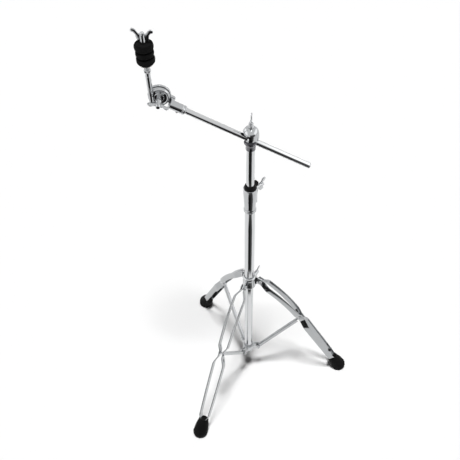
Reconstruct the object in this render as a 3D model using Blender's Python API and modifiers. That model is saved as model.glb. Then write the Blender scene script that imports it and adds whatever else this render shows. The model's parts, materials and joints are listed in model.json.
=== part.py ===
"""Boom cymbal stand: a folding tripod, a telescopic mast and a tilting, sliding boom with a cymbal tilter.

Metres, +Z up. The mast stands on the Z axis of the stand's own frame, the legs point to +X and to
120 degrees either side of it, and the boom lies in the XZ plane with its cymbal end towards -X.
The whole stand is shifted at the end, so that its footprint is centred on the world origin.
"""
import math

import bmesh
import bpy
from mathutils import Matrix, Vector

# clearances
GAP = 0.0003
SLIDE_GAP = 0.0004

# tubes: the mast slides in the stem, and the stem in the base tube
TUBE_SLACK = 0.0005
MAST_RADIUS = 0.0111
MAST_WALL = 0.0014
STEM_WALL = 0.0011
STEM_RADIUS = MAST_RADIUS + TUBE_SLACK + STEM_WALL
BASE_WALL = 0.0011
BASE_RADIUS = STEM_RADIUS + TUBE_SLACK + BASE_WALL
BOOM_RADIUS = 0.0080
BOOM_WALL = 0.0016

# heights on the mast
COLLAR_HEIGHT = 0.1105
STEM_BOTTOM = 0.0960
STEM_TOP = 0.5550
MAST_BOTTOM = 0.5000
HUB_BOTTOM = 0.4190
HUB_TALL = 0.0460
CLAMP_TOP = 0.8297
BALL_HEIGHT = 1.0010

# tripod linkage
LEG_COUNT = 3
HUB_WALL = 0.0052
HUB_RADIUS = BASE_RADIUS + HUB_WALL
LEG_PIVOT_FROM_HUB = 0.0135
LEG_PIVOT_RADIUS = HUB_RADIUS + LEG_PIVOT_FROM_HUB
LEG_PIVOT_ABOVE_HUB = 0.0220
RIVET_RADIUS = 0.1640
RIVET_HEIGHT = 0.2640
FOOT_REACH = 0.3070
COLLAR_WALL = 0.0049
COLLAR_RADIUS = STEM_RADIUS + COLLAR_WALL
COLLAR_PIVOT_FROM_RIM = 0.0144
COLLAR_PIVOT_RADIUS = COLLAR_RADIUS + COLLAR_PIVOT_FROM_RIM
LEG_BOW = math.radians(9.0)

# leg strips
STRIP_THICKNESS = 0.0025
STRIP_HEIGHT = 0.0180
LOOP_SPREAD = 0.0172
STRIP_FLAT = 0.0090
STRIP_END_HEIGHT = 0.0220

# hub, pins and braces
FIN_THICKNESS = 0.0060
FLANGE_THICKNESS = 0.0012
PIN_RADIUS = 0.0025
BUSH_RADIUS = 0.0042
BUSH_FLANGE_RADIUS = 0.0068
RIVET_SHANK_RADIUS = 0.0030
HEAD_RADIUS = 0.0056
HEAD_THICKNESS = 0.0022
BRACE_WIDTH = 0.0100
BRACE_DEPTH = 0.0092
BRACE_WALL = 0.0015
BRACE_END = 0.0060
OPEN_PIVOT_TRAVEL = 0.0190
COLLAR_TALL = 0.0200
EAR_THICKNESS = 0.0024

# feet
FOOT_LENGTH = 0.0720
FOOT_UNDERCUT = 0.0100
FOOT_TOP_RADIUS = 0.0150
FOOT_BALL_RADIUS = 0.0225

# height clamp
CLAMP_WALL = 0.0047
CLAMP_RADIUS = BASE_RADIUS + CLAMP_WALL
CLAMP_TALL = 0.0880
NYLON_TALL = 0.0130
NYLON_WALL = 0.0055
NYLON_RADIUS = MAST_RADIUS + NYLON_WALL
WING_BOSS_RADIUS = 0.0085
HUB_WING_AZIMUTH = math.radians(57.0)
CLAMP_WING_AZIMUTH = math.radians(40.0)
HUB_BOSS_OUT = 0.0320
CLAMP_BOSS_OUT = 0.0300
CLAMP_WING_BELOW_TOP = 0.0100
BUSH_KEY_HALF = 0.0062
BUSH_KEY_REACH = 0.0080

# wing hardware: span, hub height, rise of the tips above the hub, and lobe width
WING_SPAN = 0.0560
COLUMN_WING = (WING_SPAN, 0.0150, 0.0045, 0.0130)
COLUMN_WING_TURN = math.radians(12.0)
DOME_WING = (0.0420, 0.0160, 0.0165, 0.0110)
DOME_WING_TURN = math.radians(84.0)
TILTER_WING = (0.0540, 0.0240, 0.0010, 0.0130)
TILTER_WING_TURN = math.radians(17.0)
TOP_WING = (WING_SPAN, 0.0280, 0.0100, 0.0110)
TOP_WING_TURN = math.radians(-13.0)
WING_THICKNESS = 0.0032
WING_HUB_RADIUS = 0.0062
BOLT_RADIUS = 0.0040

# boom tilter
BALL_WALL = 0.0055
BALL_RADIUS = BOOM_RADIUS + BALL_WALL
CUP_WALL = 0.0042
CUP_RADIUS = BALL_RADIUS + CUP_WALL
CUP_NECK_WALL = 0.0019
CUP_NECK_RADIUS = MAST_RADIUS + CUP_NECK_WALL
BELL_ROOM = 0.0045
BELL_WALL = 0.0040
BELL_RADIUS = BALL_RADIUS + BELL_ROOM + BELL_WALL
BELL_DOME = 0.0275
BELL_TOP = BALL_RADIUS + BELL_DOME
BOOM_ELEVATION = math.radians(30.0)
BOOM_ELEVATION_MAX = math.radians(40.0)

# boom
BOOM_TAIL = 0.1760
BOOM_FREE = 0.1880
SOCKET_WALL = 0.0040
SOCKET_RADIUS = BOOM_RADIUS + SOCKET_WALL
SOCKET_LENGTH = 0.0440
SOCKET_DEPTH = 0.0380
TILTER_DISTANCE = 0.2605
SOCKET_SCREW_INSET = 0.0160
SOCKET_SCREW_SHANK = 0.0018

# cymbal tilter
DISC_RADIUS = 0.0290
HEAD_DISC_RADIUS = 0.0270
DISC_THICKNESS = 0.0090
WASHER_THICKNESS = 0.0010
WASHER_RADIUS = 0.0180
TILTER_BEHIND = 0.0135
TILTER_BOSS_RADIUS = 0.0065
TILTER_BOLT_RADIUS = 0.0040
TILTER_BOLT_PROUD = 0.0240
ROD_LEAN = math.radians(2.5)
ROD_OFFSET = 0.0190
ROD_SOCKET_RADIUS = 0.0065
ROD_SOCKET_TOP = 0.0780
ROD_RADIUS = 0.0040
ROD_TOP = 0.1900
LOCK_RADIUS = 0.0086
LOCK_TALL = 0.0072

# cymbal seat
FELT_BOTTOM = 0.1045
FELT_SIZES = (("felt_lower", 0.0232, 0.0200), ("felt_middle", 0.0230, 0.0174), ("felt_upper", 0.0236, 0.0184))
SLEEVE_RADIUS = 0.0062
SEAT_WASHER_RADIUS = 0.0160
SEAT_WASHER_TALL = 0.0024
SHOULDER_BELOW_FELTS = 0.0055

HUB_PIVOT_HEIGHT = HUB_BOTTOM + LEG_PIVOT_ABOVE_HUB
HUB_TOP = HUB_BOTTOM + HUB_TALL
BASE_TOP = CLAMP_TOP - 0.0200
STRIP_HUB_OFFSET = FIN_THICKNESS / 2 + FLANGE_THICKNESS + GAP + STRIP_THICKNESS / 2
STRIP_RIVET_OFFSET = BRACE_WIDTH / 2 + GAP + STRIP_THICKNESS / 2
STRIP_FOOT_OFFSET = 0.0052

for leftover in list(bpy.data.objects):
    bpy.data.objects.remove(leftover, do_unlink=True)

PARTS = bpy.data.collections.new("boom_cymbal_stand")
CUTTERS = bpy.data.collections.new("cutters")
bpy.context.scene.collection.children.link(PARTS)
bpy.context.scene.collection.children.link(CUTTERS)


def principled(name, colour, roughness, metallic):
    """A plain Principled material."""
    material = bpy.data.materials.new(name)
    material.use_nodes = True
    shader = material.node_tree.nodes["Principled BSDF"]
    shader.inputs["Base Color"].default_value = (*colour, 1.0)
    shader.inputs["Roughness"].default_value = roughness
    shader.inputs["Metallic"].default_value = metallic
    return material


FINISHES = {
    "chrome": ((0.78, 0.79, 0.80), 0.08, 1.0),
    "nylon": ((0.015, 0.015, 0.016), 0.45, 0.0),
    "rubber": ((0.020, 0.020, 0.021), 0.75, 0.0),
    "felt": ((0.012, 0.012, 0.013), 0.95, 0.0),
    "steel": ((0.55, 0.56, 0.58), 0.30, 1.0),
}


def anchor(name, location=(0, 0, 0), turn=None, parent=None):
    """An empty that carries the pieces turning or sliding about its place."""
    empty = bpy.data.objects.new(name, None)
    PARTS.objects.link(empty)
    empty.parent = parent
    empty.matrix_local = Matrix.Translation(location) @ (turn or Matrix.Identity(4))
    return empty


def place(name, mesh, finish, parent):
    """Put a mesh into the scene as a part, or as a cutter when it has no finish."""
    item = bpy.data.objects.new(name, mesh)
    item.parent = parent
    if finish is None:
        CUTTERS.objects.link(item)
        item.hide_render = True
        item.display_type = "WIRE"
        return item
    PARTS.objects.link(item)
    mesh.materials.append(principled(name, *FINISHES[finish]))
    mesh.shade_smooth()
    mesh.set_sharp_from_angle(angle=math.radians(35.0))
    return item


def turned(name, outline, finish, parent, steps=24, closed=False, turn=None):
    """A solid of revolution: the outline runs down the outer side, and back up the bore if closed."""
    mesh = bpy.data.meshes.new(name)
    count = len(outline)
    edges = [(i, (i + 1) % count) for i in range(count if closed else count - 1)]
    mesh.from_pydata([(radius, 0.0, height) for radius, height in outline], edges, [])
    item = place(name, mesh, finish, parent)
    if turn is not None:
        item.matrix_local = turn
    screw = item.modifiers.new("turn", "SCREW")
    screw.steps = steps
    screw.render_steps = steps
    screw.use_merge_vertices = True
    screw.merge_threshold = 0.00001
    screw.use_smooth_shade = True
    return item


def tube_outline(radius, bore, bottom, top):
    """The closed outline of a plain tube."""
    return [(radius, top), (radius, bottom), (bore, bottom), (bore, top)]


def rod_outline(radius, bottom, top):
    """The open outline of a plain round bar."""
    return [(0.0, top), (radius, top), (radius, bottom), (0.0, bottom)]


def box(name, low, high, finish, parent):
    """A rectangular block between two corners."""
    shape = bmesh.new()
    bmesh.ops.create_cube(shape, size=1.0)
    for vertex in shape.verts:
        for axis in range(3):
            vertex.co[axis] = low[axis] if vertex.co[axis] < 0 else high[axis]
    mesh = bpy.data.meshes.new(name)
    shape.to_mesh(mesh)
    shape.free()
    return place(name, mesh, finish, parent)


def pin(name, start, end, radius, finish, parent, segments=16):
    """A round bar between two points."""
    start, end = Vector(start), Vector(end)
    axis = end - start
    shape = bmesh.new()
    bmesh.ops.create_cone(shape, cap_ends=True, segments=segments, radius1=radius, radius2=radius,
                          depth=axis.length)
    spin = axis.to_track_quat("Z", "Y").to_matrix().to_4x4()
    bmesh.ops.transform(shape, matrix=Matrix.Translation((start + end) / 2) @ spin, verts=shape.verts)
    mesh = bpy.data.meshes.new(name)
    shape.to_mesh(mesh)
    shape.free()
    return place(name, mesh, finish, parent)


def ball(name, centre, radius, finish, parent, segments=24):
    """A sphere about a point."""
    shape = bmesh.new()
    bmesh.ops.create_uvsphere(shape, u_segments=segments, v_segments=segments // 2, radius=radius)
    bmesh.ops.translate(shape, vec=centre, verts=shape.verts)
    mesh = bpy.data.meshes.new(name)
    shape.to_mesh(mesh)
    shape.free()
    return place(name, mesh, finish, parent)


def plate(name, outline, thickness, finish, parent, turn=None):
    """A flat outline in its own XY plane, thickened evenly to both sides and then turned into place."""
    curve = bpy.data.curves.new(name, "CURVE")
    curve.dimensions = "2D"
    curve.fill_mode = "BOTH"
    curve.extrude = thickness / 2
    spline = curve.splines.new("POLY")
    spline.points.add(len(outline) - 1)
    for point, (x, y) in zip(spline.points, outline):
        point.co = (x, y, 0.0, 1.0)
    spline.use_cyclic_u = True
    guide = bpy.data.objects.new(name + "_outline", curve)
    CUTTERS.objects.link(guide)
    bpy.context.view_layer.update()
    graph = bpy.context.evaluated_depsgraph_get()
    mesh = bpy.data.meshes.new_from_object(guide.evaluated_get(graph))
    bpy.data.objects.remove(guide, do_unlink=True)
    bpy.data.curves.remove(curve)
    shape = bmesh.new()
    shape.from_mesh(mesh)
    bmesh.ops.remove_doubles(shape, verts=shape.verts, dist=0.000005)
    bmesh.ops.dissolve_limit(shape, angle_limit=0.01, verts=shape.verts, edges=shape.edges)
    bmesh.ops.recalc_face_normals(shape, faces=shape.faces)
    bmesh.ops.transform(shape, matrix=turn or Matrix.Identity(4), verts=shape.verts)
    shape.to_mesh(mesh)
    shape.free()
    mesh.materials.clear()
    return place(name, mesh, finish, parent)


def combine(item, other, operation):
    """Join another shape to a part, or cut it away."""
    boolean = item.modifiers.new(other.name, "BOOLEAN")
    boolean.operation = operation
    boolean.solver = "EXACT"
    boolean.object = other


def cut(item, other):
    combine(item, other, "DIFFERENCE")


def join(item, other):
    combine(item, other, "UNION")


UPRIGHT = Matrix.Rotation(math.radians(90.0), 4, "X")


def wing_outline(span, hub_height, lift, width):
    """Half butterfly outlines mirrored: two rounded lobes that rise from the hub towards their tips."""
    reach = span / 2 - width / 2
    right = [(0.0, 0.0), (WING_HUB_RADIUS, 0.0)]
    centre = (reach, hub_height + lift - width / 2)
    start, sweep, count = math.radians(-75.0), math.radians(200.0), 9
    for i in range(count):
        angle = start + sweep * i / (count - 1)
        right.append((centre[0] + width / 2 * math.cos(angle), centre[1] + width / 2 * math.sin(angle)))
    right.append((WING_HUB_RADIUS, hub_height * 0.92))
    right.append((0.0, hub_height * 0.92))
    left = [(-x, z) for x, z in reversed(right[1:-1])]
    return right + left


def wing_piece(name, parent, turn, sizes, shank=0.0, bore=0.0):
    """A wing bolt, or a wing nut with a bore. Its hub's seat is at the turn's origin, its axis is +Z there."""
    span, hub_height, lift, width = sizes
    outline = [(0.0, hub_height), (WING_HUB_RADIUS * 0.75, hub_height), (WING_HUB_RADIUS, hub_height * 0.8),
               (WING_HUB_RADIUS * 1.25, 0.0)]
    outline += [(BOLT_RADIUS, 0.0), (BOLT_RADIUS, -shank), (0.0, -shank)] if shank else [(0.0, 0.0)]
    item = turned(name, outline, "chrome", parent, steps=16, turn=turn)
    wings = plate(name + "_wings", wing_outline(span, hub_height, lift, width), WING_THICKNESS, None, parent,
                  turn @ Matrix.Translation((0.0, 0.0, hub_height * 0.04)) @ UPRIGHT)
    join(item, wings)
    if bore:
        hole = pin(name + "_bore", (0, 0, -0.01), (0, 0, hub_height + 0.01), bore, None, parent)
        hole.matrix_local = turn
        cut(item, hole)


def capped_pin(name, half_length, radius, parent, turn=Matrix.Identity(4)):
    """A pin along Y with a flat round head at both ends, like a closed rivet."""
    head_top = half_length + HEAD_THICKNESS
    outline = [(0.0, head_top), (HEAD_RADIUS * 0.7, head_top), (HEAD_RADIUS, head_top - 0.0008),
               (HEAD_RADIUS, half_length), (radius, half_length)]
    outline += [(r, -z) for r, z in reversed(outline)]
    turned(name, outline, "chrome", parent, steps=16, turn=turn @ UPRIGHT)


# ---------------------------------------------------------------- main column
stand = anchor("stand")
turned("base_tube", tube_outline(BASE_RADIUS, BASE_RADIUS - BASE_WALL, HUB_BOTTOM + 0.004, BASE_TOP), "chrome",
       stand, closed=True)

hub_bore = BASE_RADIUS + GAP
hub_lip = STEM_RADIUS + SLIDE_GAP
hub = turned("hub_casting", [
    (HUB_RADIUS - 0.0025, HUB_TOP), (HUB_RADIUS, HUB_TOP - 0.003), (HUB_RADIUS, HUB_BOTTOM + 0.004),
    (HUB_RADIUS - 0.003, HUB_BOTTOM), (hub_lip, HUB_BOTTOM), (hub_lip, HUB_BOTTOM + 0.0037),
    (hub_bore, HUB_BOTTOM + 0.0037), (hub_bore, HUB_TOP)], "chrome", stand, closed=True)


def leg_turn(index):
    """Leg 1 is at the front left, leg 2 at the right and leg 3 at the back left."""
    return Matrix.Rotation(math.radians(240.0 + 120.0 * index), 4, "Z")


def fin_outline():
    """The lug seen from its side: tall at the sleeve, rounded about the leg's pivot."""
    inner = hub_bore + 0.0012
    points = [(inner, HUB_TOP - 0.005), (inner, HUB_BOTTOM + 0.006)]
    for i in range(9):
        angle = math.radians(-80.0 + 160.0 * i / 8)
        points.append((LEG_PIVOT_RADIUS + 0.0075 * math.cos(angle), HUB_PIVOT_HEIGHT + 0.0075 * math.sin(angle)))
    points.append((HUB_RADIUS + 0.002, HUB_TOP - 0.006))
    return points


for index in range(LEG_COUNT):
    fin = plate(f"hub_fin_{index + 1}", fin_outline(), FIN_THICKNESS, None, stand, leg_turn(index) @ UPRIGHT)
    join(hub, fin)
for index in range(LEG_COUNT):
    hole = pin(f"hub_pivot_hole_{index + 1}", (LEG_PIVOT_RADIUS, -0.01, HUB_PIVOT_HEIGHT),
               (LEG_PIVOT_RADIUS, 0.01, HUB_PIVOT_HEIGHT), BUSH_RADIUS + GAP, None, stand)
    hole.matrix_local = leg_turn(index)
    cut(hub, hole)


def wing_boss(item, name, azimuth, height, inner, outer):
    """A round boss on a clamp for its wing bolt, drilled for the bolt's shank."""
    boss = pin(name + "_boss", (inner, 0, height), (outer, 0, height), WING_BOSS_RADIUS, None, stand, 20)
    boss.matrix_local = Matrix.Rotation(azimuth, 4, "Z")
    join(item, boss)
    bore = pin(name + "_bore", (inner - 0.004, 0, height), (outer + 0.004, 0, height), BOLT_RADIUS + GAP, None,
               stand)
    bore.matrix_local = Matrix.Rotation(azimuth, 4, "Z")
    cut(item, bore)


wing_boss(hub, "hub_wing", HUB_WING_AZIMUTH, HUB_PIVOT_HEIGHT, hub_bore + 0.0012, HUB_BOSS_OUT)

CLAMP_BOTTOM = CLAMP_TOP - CLAMP_TALL
clamp_bore = BASE_RADIUS + GAP
clamp = turned("clamp_casting", [
    (CLAMP_RADIUS - 0.001, CLAMP_TOP), (CLAMP_RADIUS, CLAMP_TOP - 0.002), (CLAMP_RADIUS, CLAMP_TOP - 0.016),
    (CLAMP_RADIUS - 0.0012, CLAMP_TOP - 0.034), (CLAMP_RADIUS - 0.0026, CLAMP_TOP - 0.052),
    (CLAMP_RADIUS - 0.0034, CLAMP_BOTTOM + 0.018), (CLAMP_RADIUS - 0.0034, CLAMP_BOTTOM + 0.0155),
    (CLAMP_RADIUS - 0.0016, CLAMP_BOTTOM + 0.013), (CLAMP_RADIUS - 0.0016, CLAMP_BOTTOM + 0.003),
    (CLAMP_RADIUS - 0.0032, CLAMP_BOTTOM), (clamp_bore, CLAMP_BOTTOM), (clamp_bore, CLAMP_TOP)],
    "chrome", stand, closed=True)
clamp_wing_height = CLAMP_TOP - CLAMP_WING_BELOW_TOP
wing_boss(clamp, "clamp_wing", CLAMP_WING_AZIMUTH, clamp_wing_height, clamp_bore + 0.0012, CLAMP_BOSS_OUT)

nylon_foot = BASE_TOP + GAP
nylon = turned("clamp_bush", [
    (NYLON_RADIUS - 0.0015, CLAMP_TOP + NYLON_TALL), (NYLON_RADIUS, CLAMP_TOP + NYLON_TALL - 0.0015),
    (NYLON_RADIUS, CLAMP_TOP + GAP), (BASE_RADIUS, CLAMP_TOP + GAP), (BASE_RADIUS, nylon_foot),
    (MAST_RADIUS + SLIDE_GAP, nylon_foot), (MAST_RADIUS + SLIDE_GAP, CLAMP_TOP + NYLON_TALL)],
    "nylon", stand, closed=True)
key = box("clamp_bush_key", (NYLON_RADIUS - 0.003, -BUSH_KEY_HALF, CLAMP_TOP + GAP),
          (NYLON_RADIUS + BUSH_KEY_REACH, BUSH_KEY_HALF, CLAMP_TOP + NYLON_TALL - 0.0012), None, stand)
key.matrix_local = Matrix.Rotation(CLAMP_WING_AZIMUTH, 4, "Z")
join(nylon, key)

WING_SEAT = {"hub": (HUB_WING_AZIMUTH, HUB_PIVOT_HEIGHT, HUB_BOSS_OUT, hub_bore),
             "clamp": (CLAMP_WING_AZIMUTH, clamp_wing_height, CLAMP_BOSS_OUT, clamp_bore)}
for label, (azimuth, height, seat, wall) in WING_SEAT.items():
    outwards = Matrix.Rotation(azimuth, 4, "Z") @ Matrix.Rotation(math.radians(90.0), 4, "Y")
    axle = anchor(label + "_wing_axis", Matrix.Rotation(azimuth, 4, "Z") @ Vector((seat + GAP, 0, height)),
                  outwards, stand)
    wing_piece(label + "_wing_bolt", axle, Matrix.Rotation(COLUMN_WING_TURN, 4, "Z"), COLUMN_WING,
               shank=seat - wall - 0.0004)

# ---------------------------------------------------------------- stem and brace collar
stem = anchor("stem_slide", (0, 0, COLLAR_HEIGHT), None, stand)
turned("stem_tube", tube_outline(STEM_RADIUS, STEM_RADIUS - STEM_WALL, STEM_BOTTOM - COLLAR_HEIGHT,
                                 STEM_TOP - COLLAR_HEIGHT), "chrome", stem, closed=True)
cap_top = STEM_BOTTOM - COLLAR_HEIGHT
turned("stem_cap", [(0.0, cap_top + 0.012), (STEM_RADIUS - STEM_WALL - GAP, cap_top + 0.012),
                    (STEM_RADIUS - STEM_WALL - GAP, cap_top - GAP), (STEM_RADIUS, cap_top - GAP),
                    (STEM_RADIUS, cap_top - 0.004), (STEM_RADIUS - 0.002, cap_top - 0.006),
                    (0.0, cap_top - 0.006)], "nylon", stem)
collar = turned("brace_collar", tube_outline(COLLAR_RADIUS, STEM_RADIUS + GAP, -COLLAR_TALL / 2, COLLAR_TALL / 2),
                "chrome", stem, closed=True)
ear_inner = BRACE_WIDTH / 2 + GAP
for index in range(LEG_COUNT):
    for side in (-1, 1):
        low_y, high_y = sorted((side * ear_inner, side * (ear_inner + EAR_THICKNESS)))
        ear = box(f"collar_ear_{index + 1}_{side}", (STEM_RADIUS + 0.002, low_y, -0.0070),
                  (COLLAR_PIVOT_RADIUS + 0.0065, high_y, 0.0070), None, stem)
        ear.matrix_local = leg_turn(index)
        join(collar, ear)
for index in range(LEG_COUNT):
    hole = pin(f"collar_hole_{index + 1}", (COLLAR_PIVOT_RADIUS, -0.02, 0), (COLLAR_PIVOT_RADIUS, 0.02, 0),
               PIN_RADIUS + GAP, None, stem)
    hole.matrix_local = leg_turn(index)
    cut(collar, hole)

# ---------------------------------------------------------------- legs and braces
pivot_point = Vector((LEG_PIVOT_RADIUS, 0.0, HUB_PIVOT_HEIGHT))
rivet_point = Vector((RIVET_RADIUS, 0.0, RIVET_HEIGHT))
foot_point = Vector((FOOT_REACH, 0.0, 0.0))
upper_chord = rivet_point - pivot_point
chord_slope = math.atan2(-upper_chord.z, upper_chord.x)
bow_radius = upper_chord.length / (2.0 * math.sin(LEG_BOW))
UPPER_LENGTH = 2.0 * LEG_BOW * bow_radius
lower_line = foot_point - rivet_point
lower_slope = math.atan2(-lower_line.z, lower_line.x)
STRIP_SHORT = STRIP_END_HEIGHT / math.sin(lower_slope)
LOWER_LENGTH = lower_line.length - STRIP_SHORT
FOOT_SEAT = FOOT_LENGTH - FOOT_UNDERCUT
FOOT_GRIP = FOOT_SEAT - STRIP_SHORT + 0.0040


def leg_point(distance):
    """Place and slope of the leg's centre line: an arc to the rivet, then straight to the foot."""
    start = chord_slope - LEG_BOW
    if distance <= 0.0:
        return distance * math.cos(start), -distance * math.sin(start), start
    if distance <= UPPER_LENGTH:
        slope = start + distance / bow_radius
        return (bow_radius * (math.sin(slope) - math.sin(start)),
                bow_radius * (math.cos(slope) - math.cos(start)), slope)
    past = distance - UPPER_LENGTH
    return (upper_chord.x + past * math.cos(lower_slope), upper_chord.z - past * math.sin(lower_slope),
            lower_slope)


def strip_offset(distance):
    """Sideways distance of a strip: flat at the pins, bowed out in a lens between them."""
    total = UPPER_LENGTH + LOWER_LENGTH
    spans = ((STRIP_FLAT, UPPER_LENGTH - STRIP_FLAT, STRIP_HUB_OFFSET, STRIP_RIVET_OFFSET),
             (UPPER_LENGTH + STRIP_FLAT, total - FOOT_GRIP, STRIP_RIVET_OFFSET, STRIP_FOOT_OFFSET))
    for begin, finish, near, far in spans:
        if distance < begin:
            return near
        if distance < finish:
            share = (distance - begin) / (finish - begin)
            flat = near + (far - near) * share
            return flat + (LOOP_SPREAD - flat) * math.sin(math.pi * share) ** 0.8
    return STRIP_FOOT_OFFSET


def strip_stations():
    """Distances along a strip, closer together where it bends."""
    total = UPPER_LENGTH + LOWER_LENGTH
    stations = [-STRIP_FLAT]
    for begin, finish in ((STRIP_FLAT, UPPER_LENGTH - STRIP_FLAT), (UPPER_LENGTH + STRIP_FLAT, total - FOOT_GRIP)):
        count = 12
        for i in range(count + 1):
            share = 0.5 - 0.5 * math.cos(math.pi * i / count)
            stations.append(begin + (finish - begin) * share)
    return stations + [total]


def leg_strip(name, side, parent):
    """One bowed flat strip on edge, as a sheet along the leg that Solidify gives its thickness."""
    stations = strip_stations()
    shape = bmesh.new()
    bmesh.ops.create_grid(shape, x_segments=len(stations) - 1, y_segments=1, size=1.0)
    for vertex in shape.verts:
        distance = stations[round((vertex.co.x + 1.0) / 2.0 * (len(stations) - 1))]
        x, z, slope = leg_point(distance)
        rise = vertex.co.y * STRIP_HEIGHT / 2
        vertex.co = (x + rise * math.sin(slope), side * strip_offset(distance), z + rise * math.cos(slope))
    mesh = bpy.data.meshes.new(name)
    shape.to_mesh(mesh)
    shape.free()
    strip = place(name, mesh, "chrome", parent)
    thick = strip.modifiers.new("thickness", "SOLIDIFY")
    thick.thickness = STRIP_THICKNESS
    thick.offset = 0.0
    for label, centre, radius in (("pivot", Vector(), PIN_RADIUS), ("rivet", upper_chord, RIVET_SHANK_RADIUS)):
        hole = pin(f"{name}_{label}_hole", centre + Vector((0, side * 0.02, 0)), centre, radius + GAP, None,
                   parent)
        cut(strip, hole)
    return strip


def foot_outline():
    """A rubber boot: narrow cuff, swelling to a round ball that the floor cuts flat."""
    outline = [(0.0, 0.0), (FOOT_TOP_RADIUS - 0.0015, 0.0), (FOOT_TOP_RADIUS, -0.002)]
    for i in range(1, 5):
        share = i / 4
        swell = FOOT_TOP_RADIUS + (FOOT_BALL_RADIUS - FOOT_TOP_RADIUS) * math.sin(share * math.pi / 2)
        outline.append((swell, -0.002 - share * (FOOT_LENGTH - 0.026)))
    for i in range(1, 5):
        angle = math.radians(22.5 * i)
        outline.append((FOOT_BALL_RADIUS * math.cos(angle), -(FOOT_LENGTH - 0.024) - 0.024 * math.sin(angle)))
    outline[-1] = (0.0, -FOOT_LENGTH)
    return outline


brace_vector = rivet_point - Vector((COLLAR_PIVOT_RADIUS, 0.0, COLLAR_HEIGHT))
brace_slope = math.atan2(brace_vector.z, brace_vector.x)
floor_cut = box("floor_cut", (-1.0, -1.0, -0.2), (1.0, 1.0, 0.0), None, stand)

for index in range(LEG_COUNT):
    name = f"leg_{index + 1}"
    turn = leg_turn(index)
    hinge = anchor(name + "_hinge", turn @ pivot_point, turn, stand)
    for side, label in ((-1, "right"), (1, "left")):
        leg_strip(f"{name}_strip_{label}", side, hinge)
    capped_pin(name + "_pivot_pin", STRIP_HUB_OFFSET + STRIP_THICKNESS / 2 + GAP, PIN_RADIUS, hinge)
    capped_pin(name + "_rivet", STRIP_RIVET_OFFSET + STRIP_THICKNESS / 2 + GAP, RIVET_SHANK_RADIUS, hinge,
               Matrix.Translation(upper_chord))
    fixed = anchor(name + "_bush_place", turn @ pivot_point, turn, stand)
    half = FIN_THICKNESS / 2 + GAP
    turned(name + "_bush", [
        (BUSH_FLANGE_RADIUS, half + FLANGE_THICKNESS - GAP), (BUSH_FLANGE_RADIUS, half), (BUSH_RADIUS, half),
        (BUSH_RADIUS, -half), (BUSH_FLANGE_RADIUS, -half), (BUSH_FLANGE_RADIUS, -half - FLANGE_THICKNESS + GAP),
        (PIN_RADIUS + GAP, -half - FLANGE_THICKNESS + GAP), (PIN_RADIUS + GAP, half + FLANGE_THICKNESS - GAP)],
        "nylon", fixed, steps=16, closed=True, turn=UPRIGHT)
    lean = Matrix.Rotation(-(math.pi / 2 - lower_slope), 4, "Y")
    tip = foot_point - pivot_point
    boot_top = tip - lower_line.normalized() * FOOT_SEAT
    boot = turned(name + "_foot", foot_outline(), "rubber", hinge, turn=Matrix.Translation(boot_top) @ lean)
    cut(boot, floor_cut)
    slot_half = STRIP_FOOT_OFFSET + STRIP_THICKNESS / 2 + GAP
    strip_half = STRIP_HEIGHT / 2 + GAP
    grip = STRIP_SHORT - FOOT_SEAT
    pocket = box(f"{name}_foot_pocket", (-strip_half, -slot_half, grip - GAP), (strip_half, slot_half, 0.01),
                 None, hinge)
    pocket.matrix_local = Matrix.Translation(boot_top) @ lean
    cut(boot, pocket)

    arm = anchor(f"brace_{index + 1}_hinge", turn @ Vector((COLLAR_PIVOT_RADIUS, 0, 0)),
                 turn @ Matrix.Rotation(-brace_slope, 4, "Y"), stem)
    length = brace_vector.length
    brace = box(f"brace_{index + 1}", (-BRACE_END, -BRACE_WIDTH / 2, -BRACE_DEPTH / 2),
                (length + BRACE_END, BRACE_WIDTH / 2, BRACE_DEPTH / 2), "chrome", arm)
    hollow = box(f"brace_{index + 1}_hollow", (-BRACE_END - 0.01, -BRACE_WIDTH / 2 + BRACE_WALL, -BRACE_DEPTH),
                 (length + BRACE_END + 0.01, BRACE_WIDTH / 2 - BRACE_WALL, BRACE_DEPTH / 2 - BRACE_WALL), None, arm)
    cut(brace, hollow)
    eye = pin(f"brace_{index + 1}_eye", (0, -0.02, 0), (0, 0.02, 0), PIN_RADIUS + GAP, None, arm)
    cut(brace, eye)
    mouth = box(f"brace_{index + 1}_mouth", (length - OPEN_PIVOT_TRAVEL, -0.02, -BRACE_DEPTH),
                (length + 0.03, 0.02, RIVET_SHANK_RADIUS + GAP / 2), None, arm)
    cut(brace, mouth)
    capped_pin(f"collar_bolt_{index + 1}", ear_inner + EAR_THICKNESS + GAP, PIN_RADIUS, stem,
               turn @ Matrix.Translation((COLLAR_PIVOT_RADIUS, 0, 0)))

# ---------------------------------------------------------------- mast and boom tilter
mast = anchor("mast_slide", (0, 0, CLAMP_TOP), None, stand)
MAST_TOP = BALL_HEIGHT - 0.0230
turned("mast_tube", tube_outline(MAST_RADIUS, MAST_RADIUS - MAST_WALL, MAST_BOTTOM - CLAMP_TOP,
                                 MAST_TOP - CLAMP_TOP), "chrome", mast, closed=True)
head = anchor("head_turn", (0, 0, BALL_HEIGHT - CLAMP_TOP), None, mast)
SEAT_RADIUS = BALL_RADIUS + GAP
socket_top = MAST_TOP - BALL_HEIGHT + GAP
cup_foot = socket_top - 0.0080
cup = turned("tilter_cup", [
    (0.0, -0.0030), (CUP_RADIUS - 0.0006, -0.0030), (CUP_RADIUS, -0.0036), (CUP_RADIUS, -0.0090),
    (CUP_NECK_RADIUS + 0.0022, -0.0140), (CUP_NECK_RADIUS, -0.0180), (CUP_NECK_RADIUS, cup_foot),
    (MAST_RADIUS + GAP, cup_foot), (MAST_RADIUS + GAP, socket_top), (0.0, socket_top)], "chrome", head)
cut(cup, ball("tilter_cup_seat", (0, 0, 0), SEAT_RADIUS, None, head, 28))
WAY = BOOM_RADIUS + 0.0007
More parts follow.
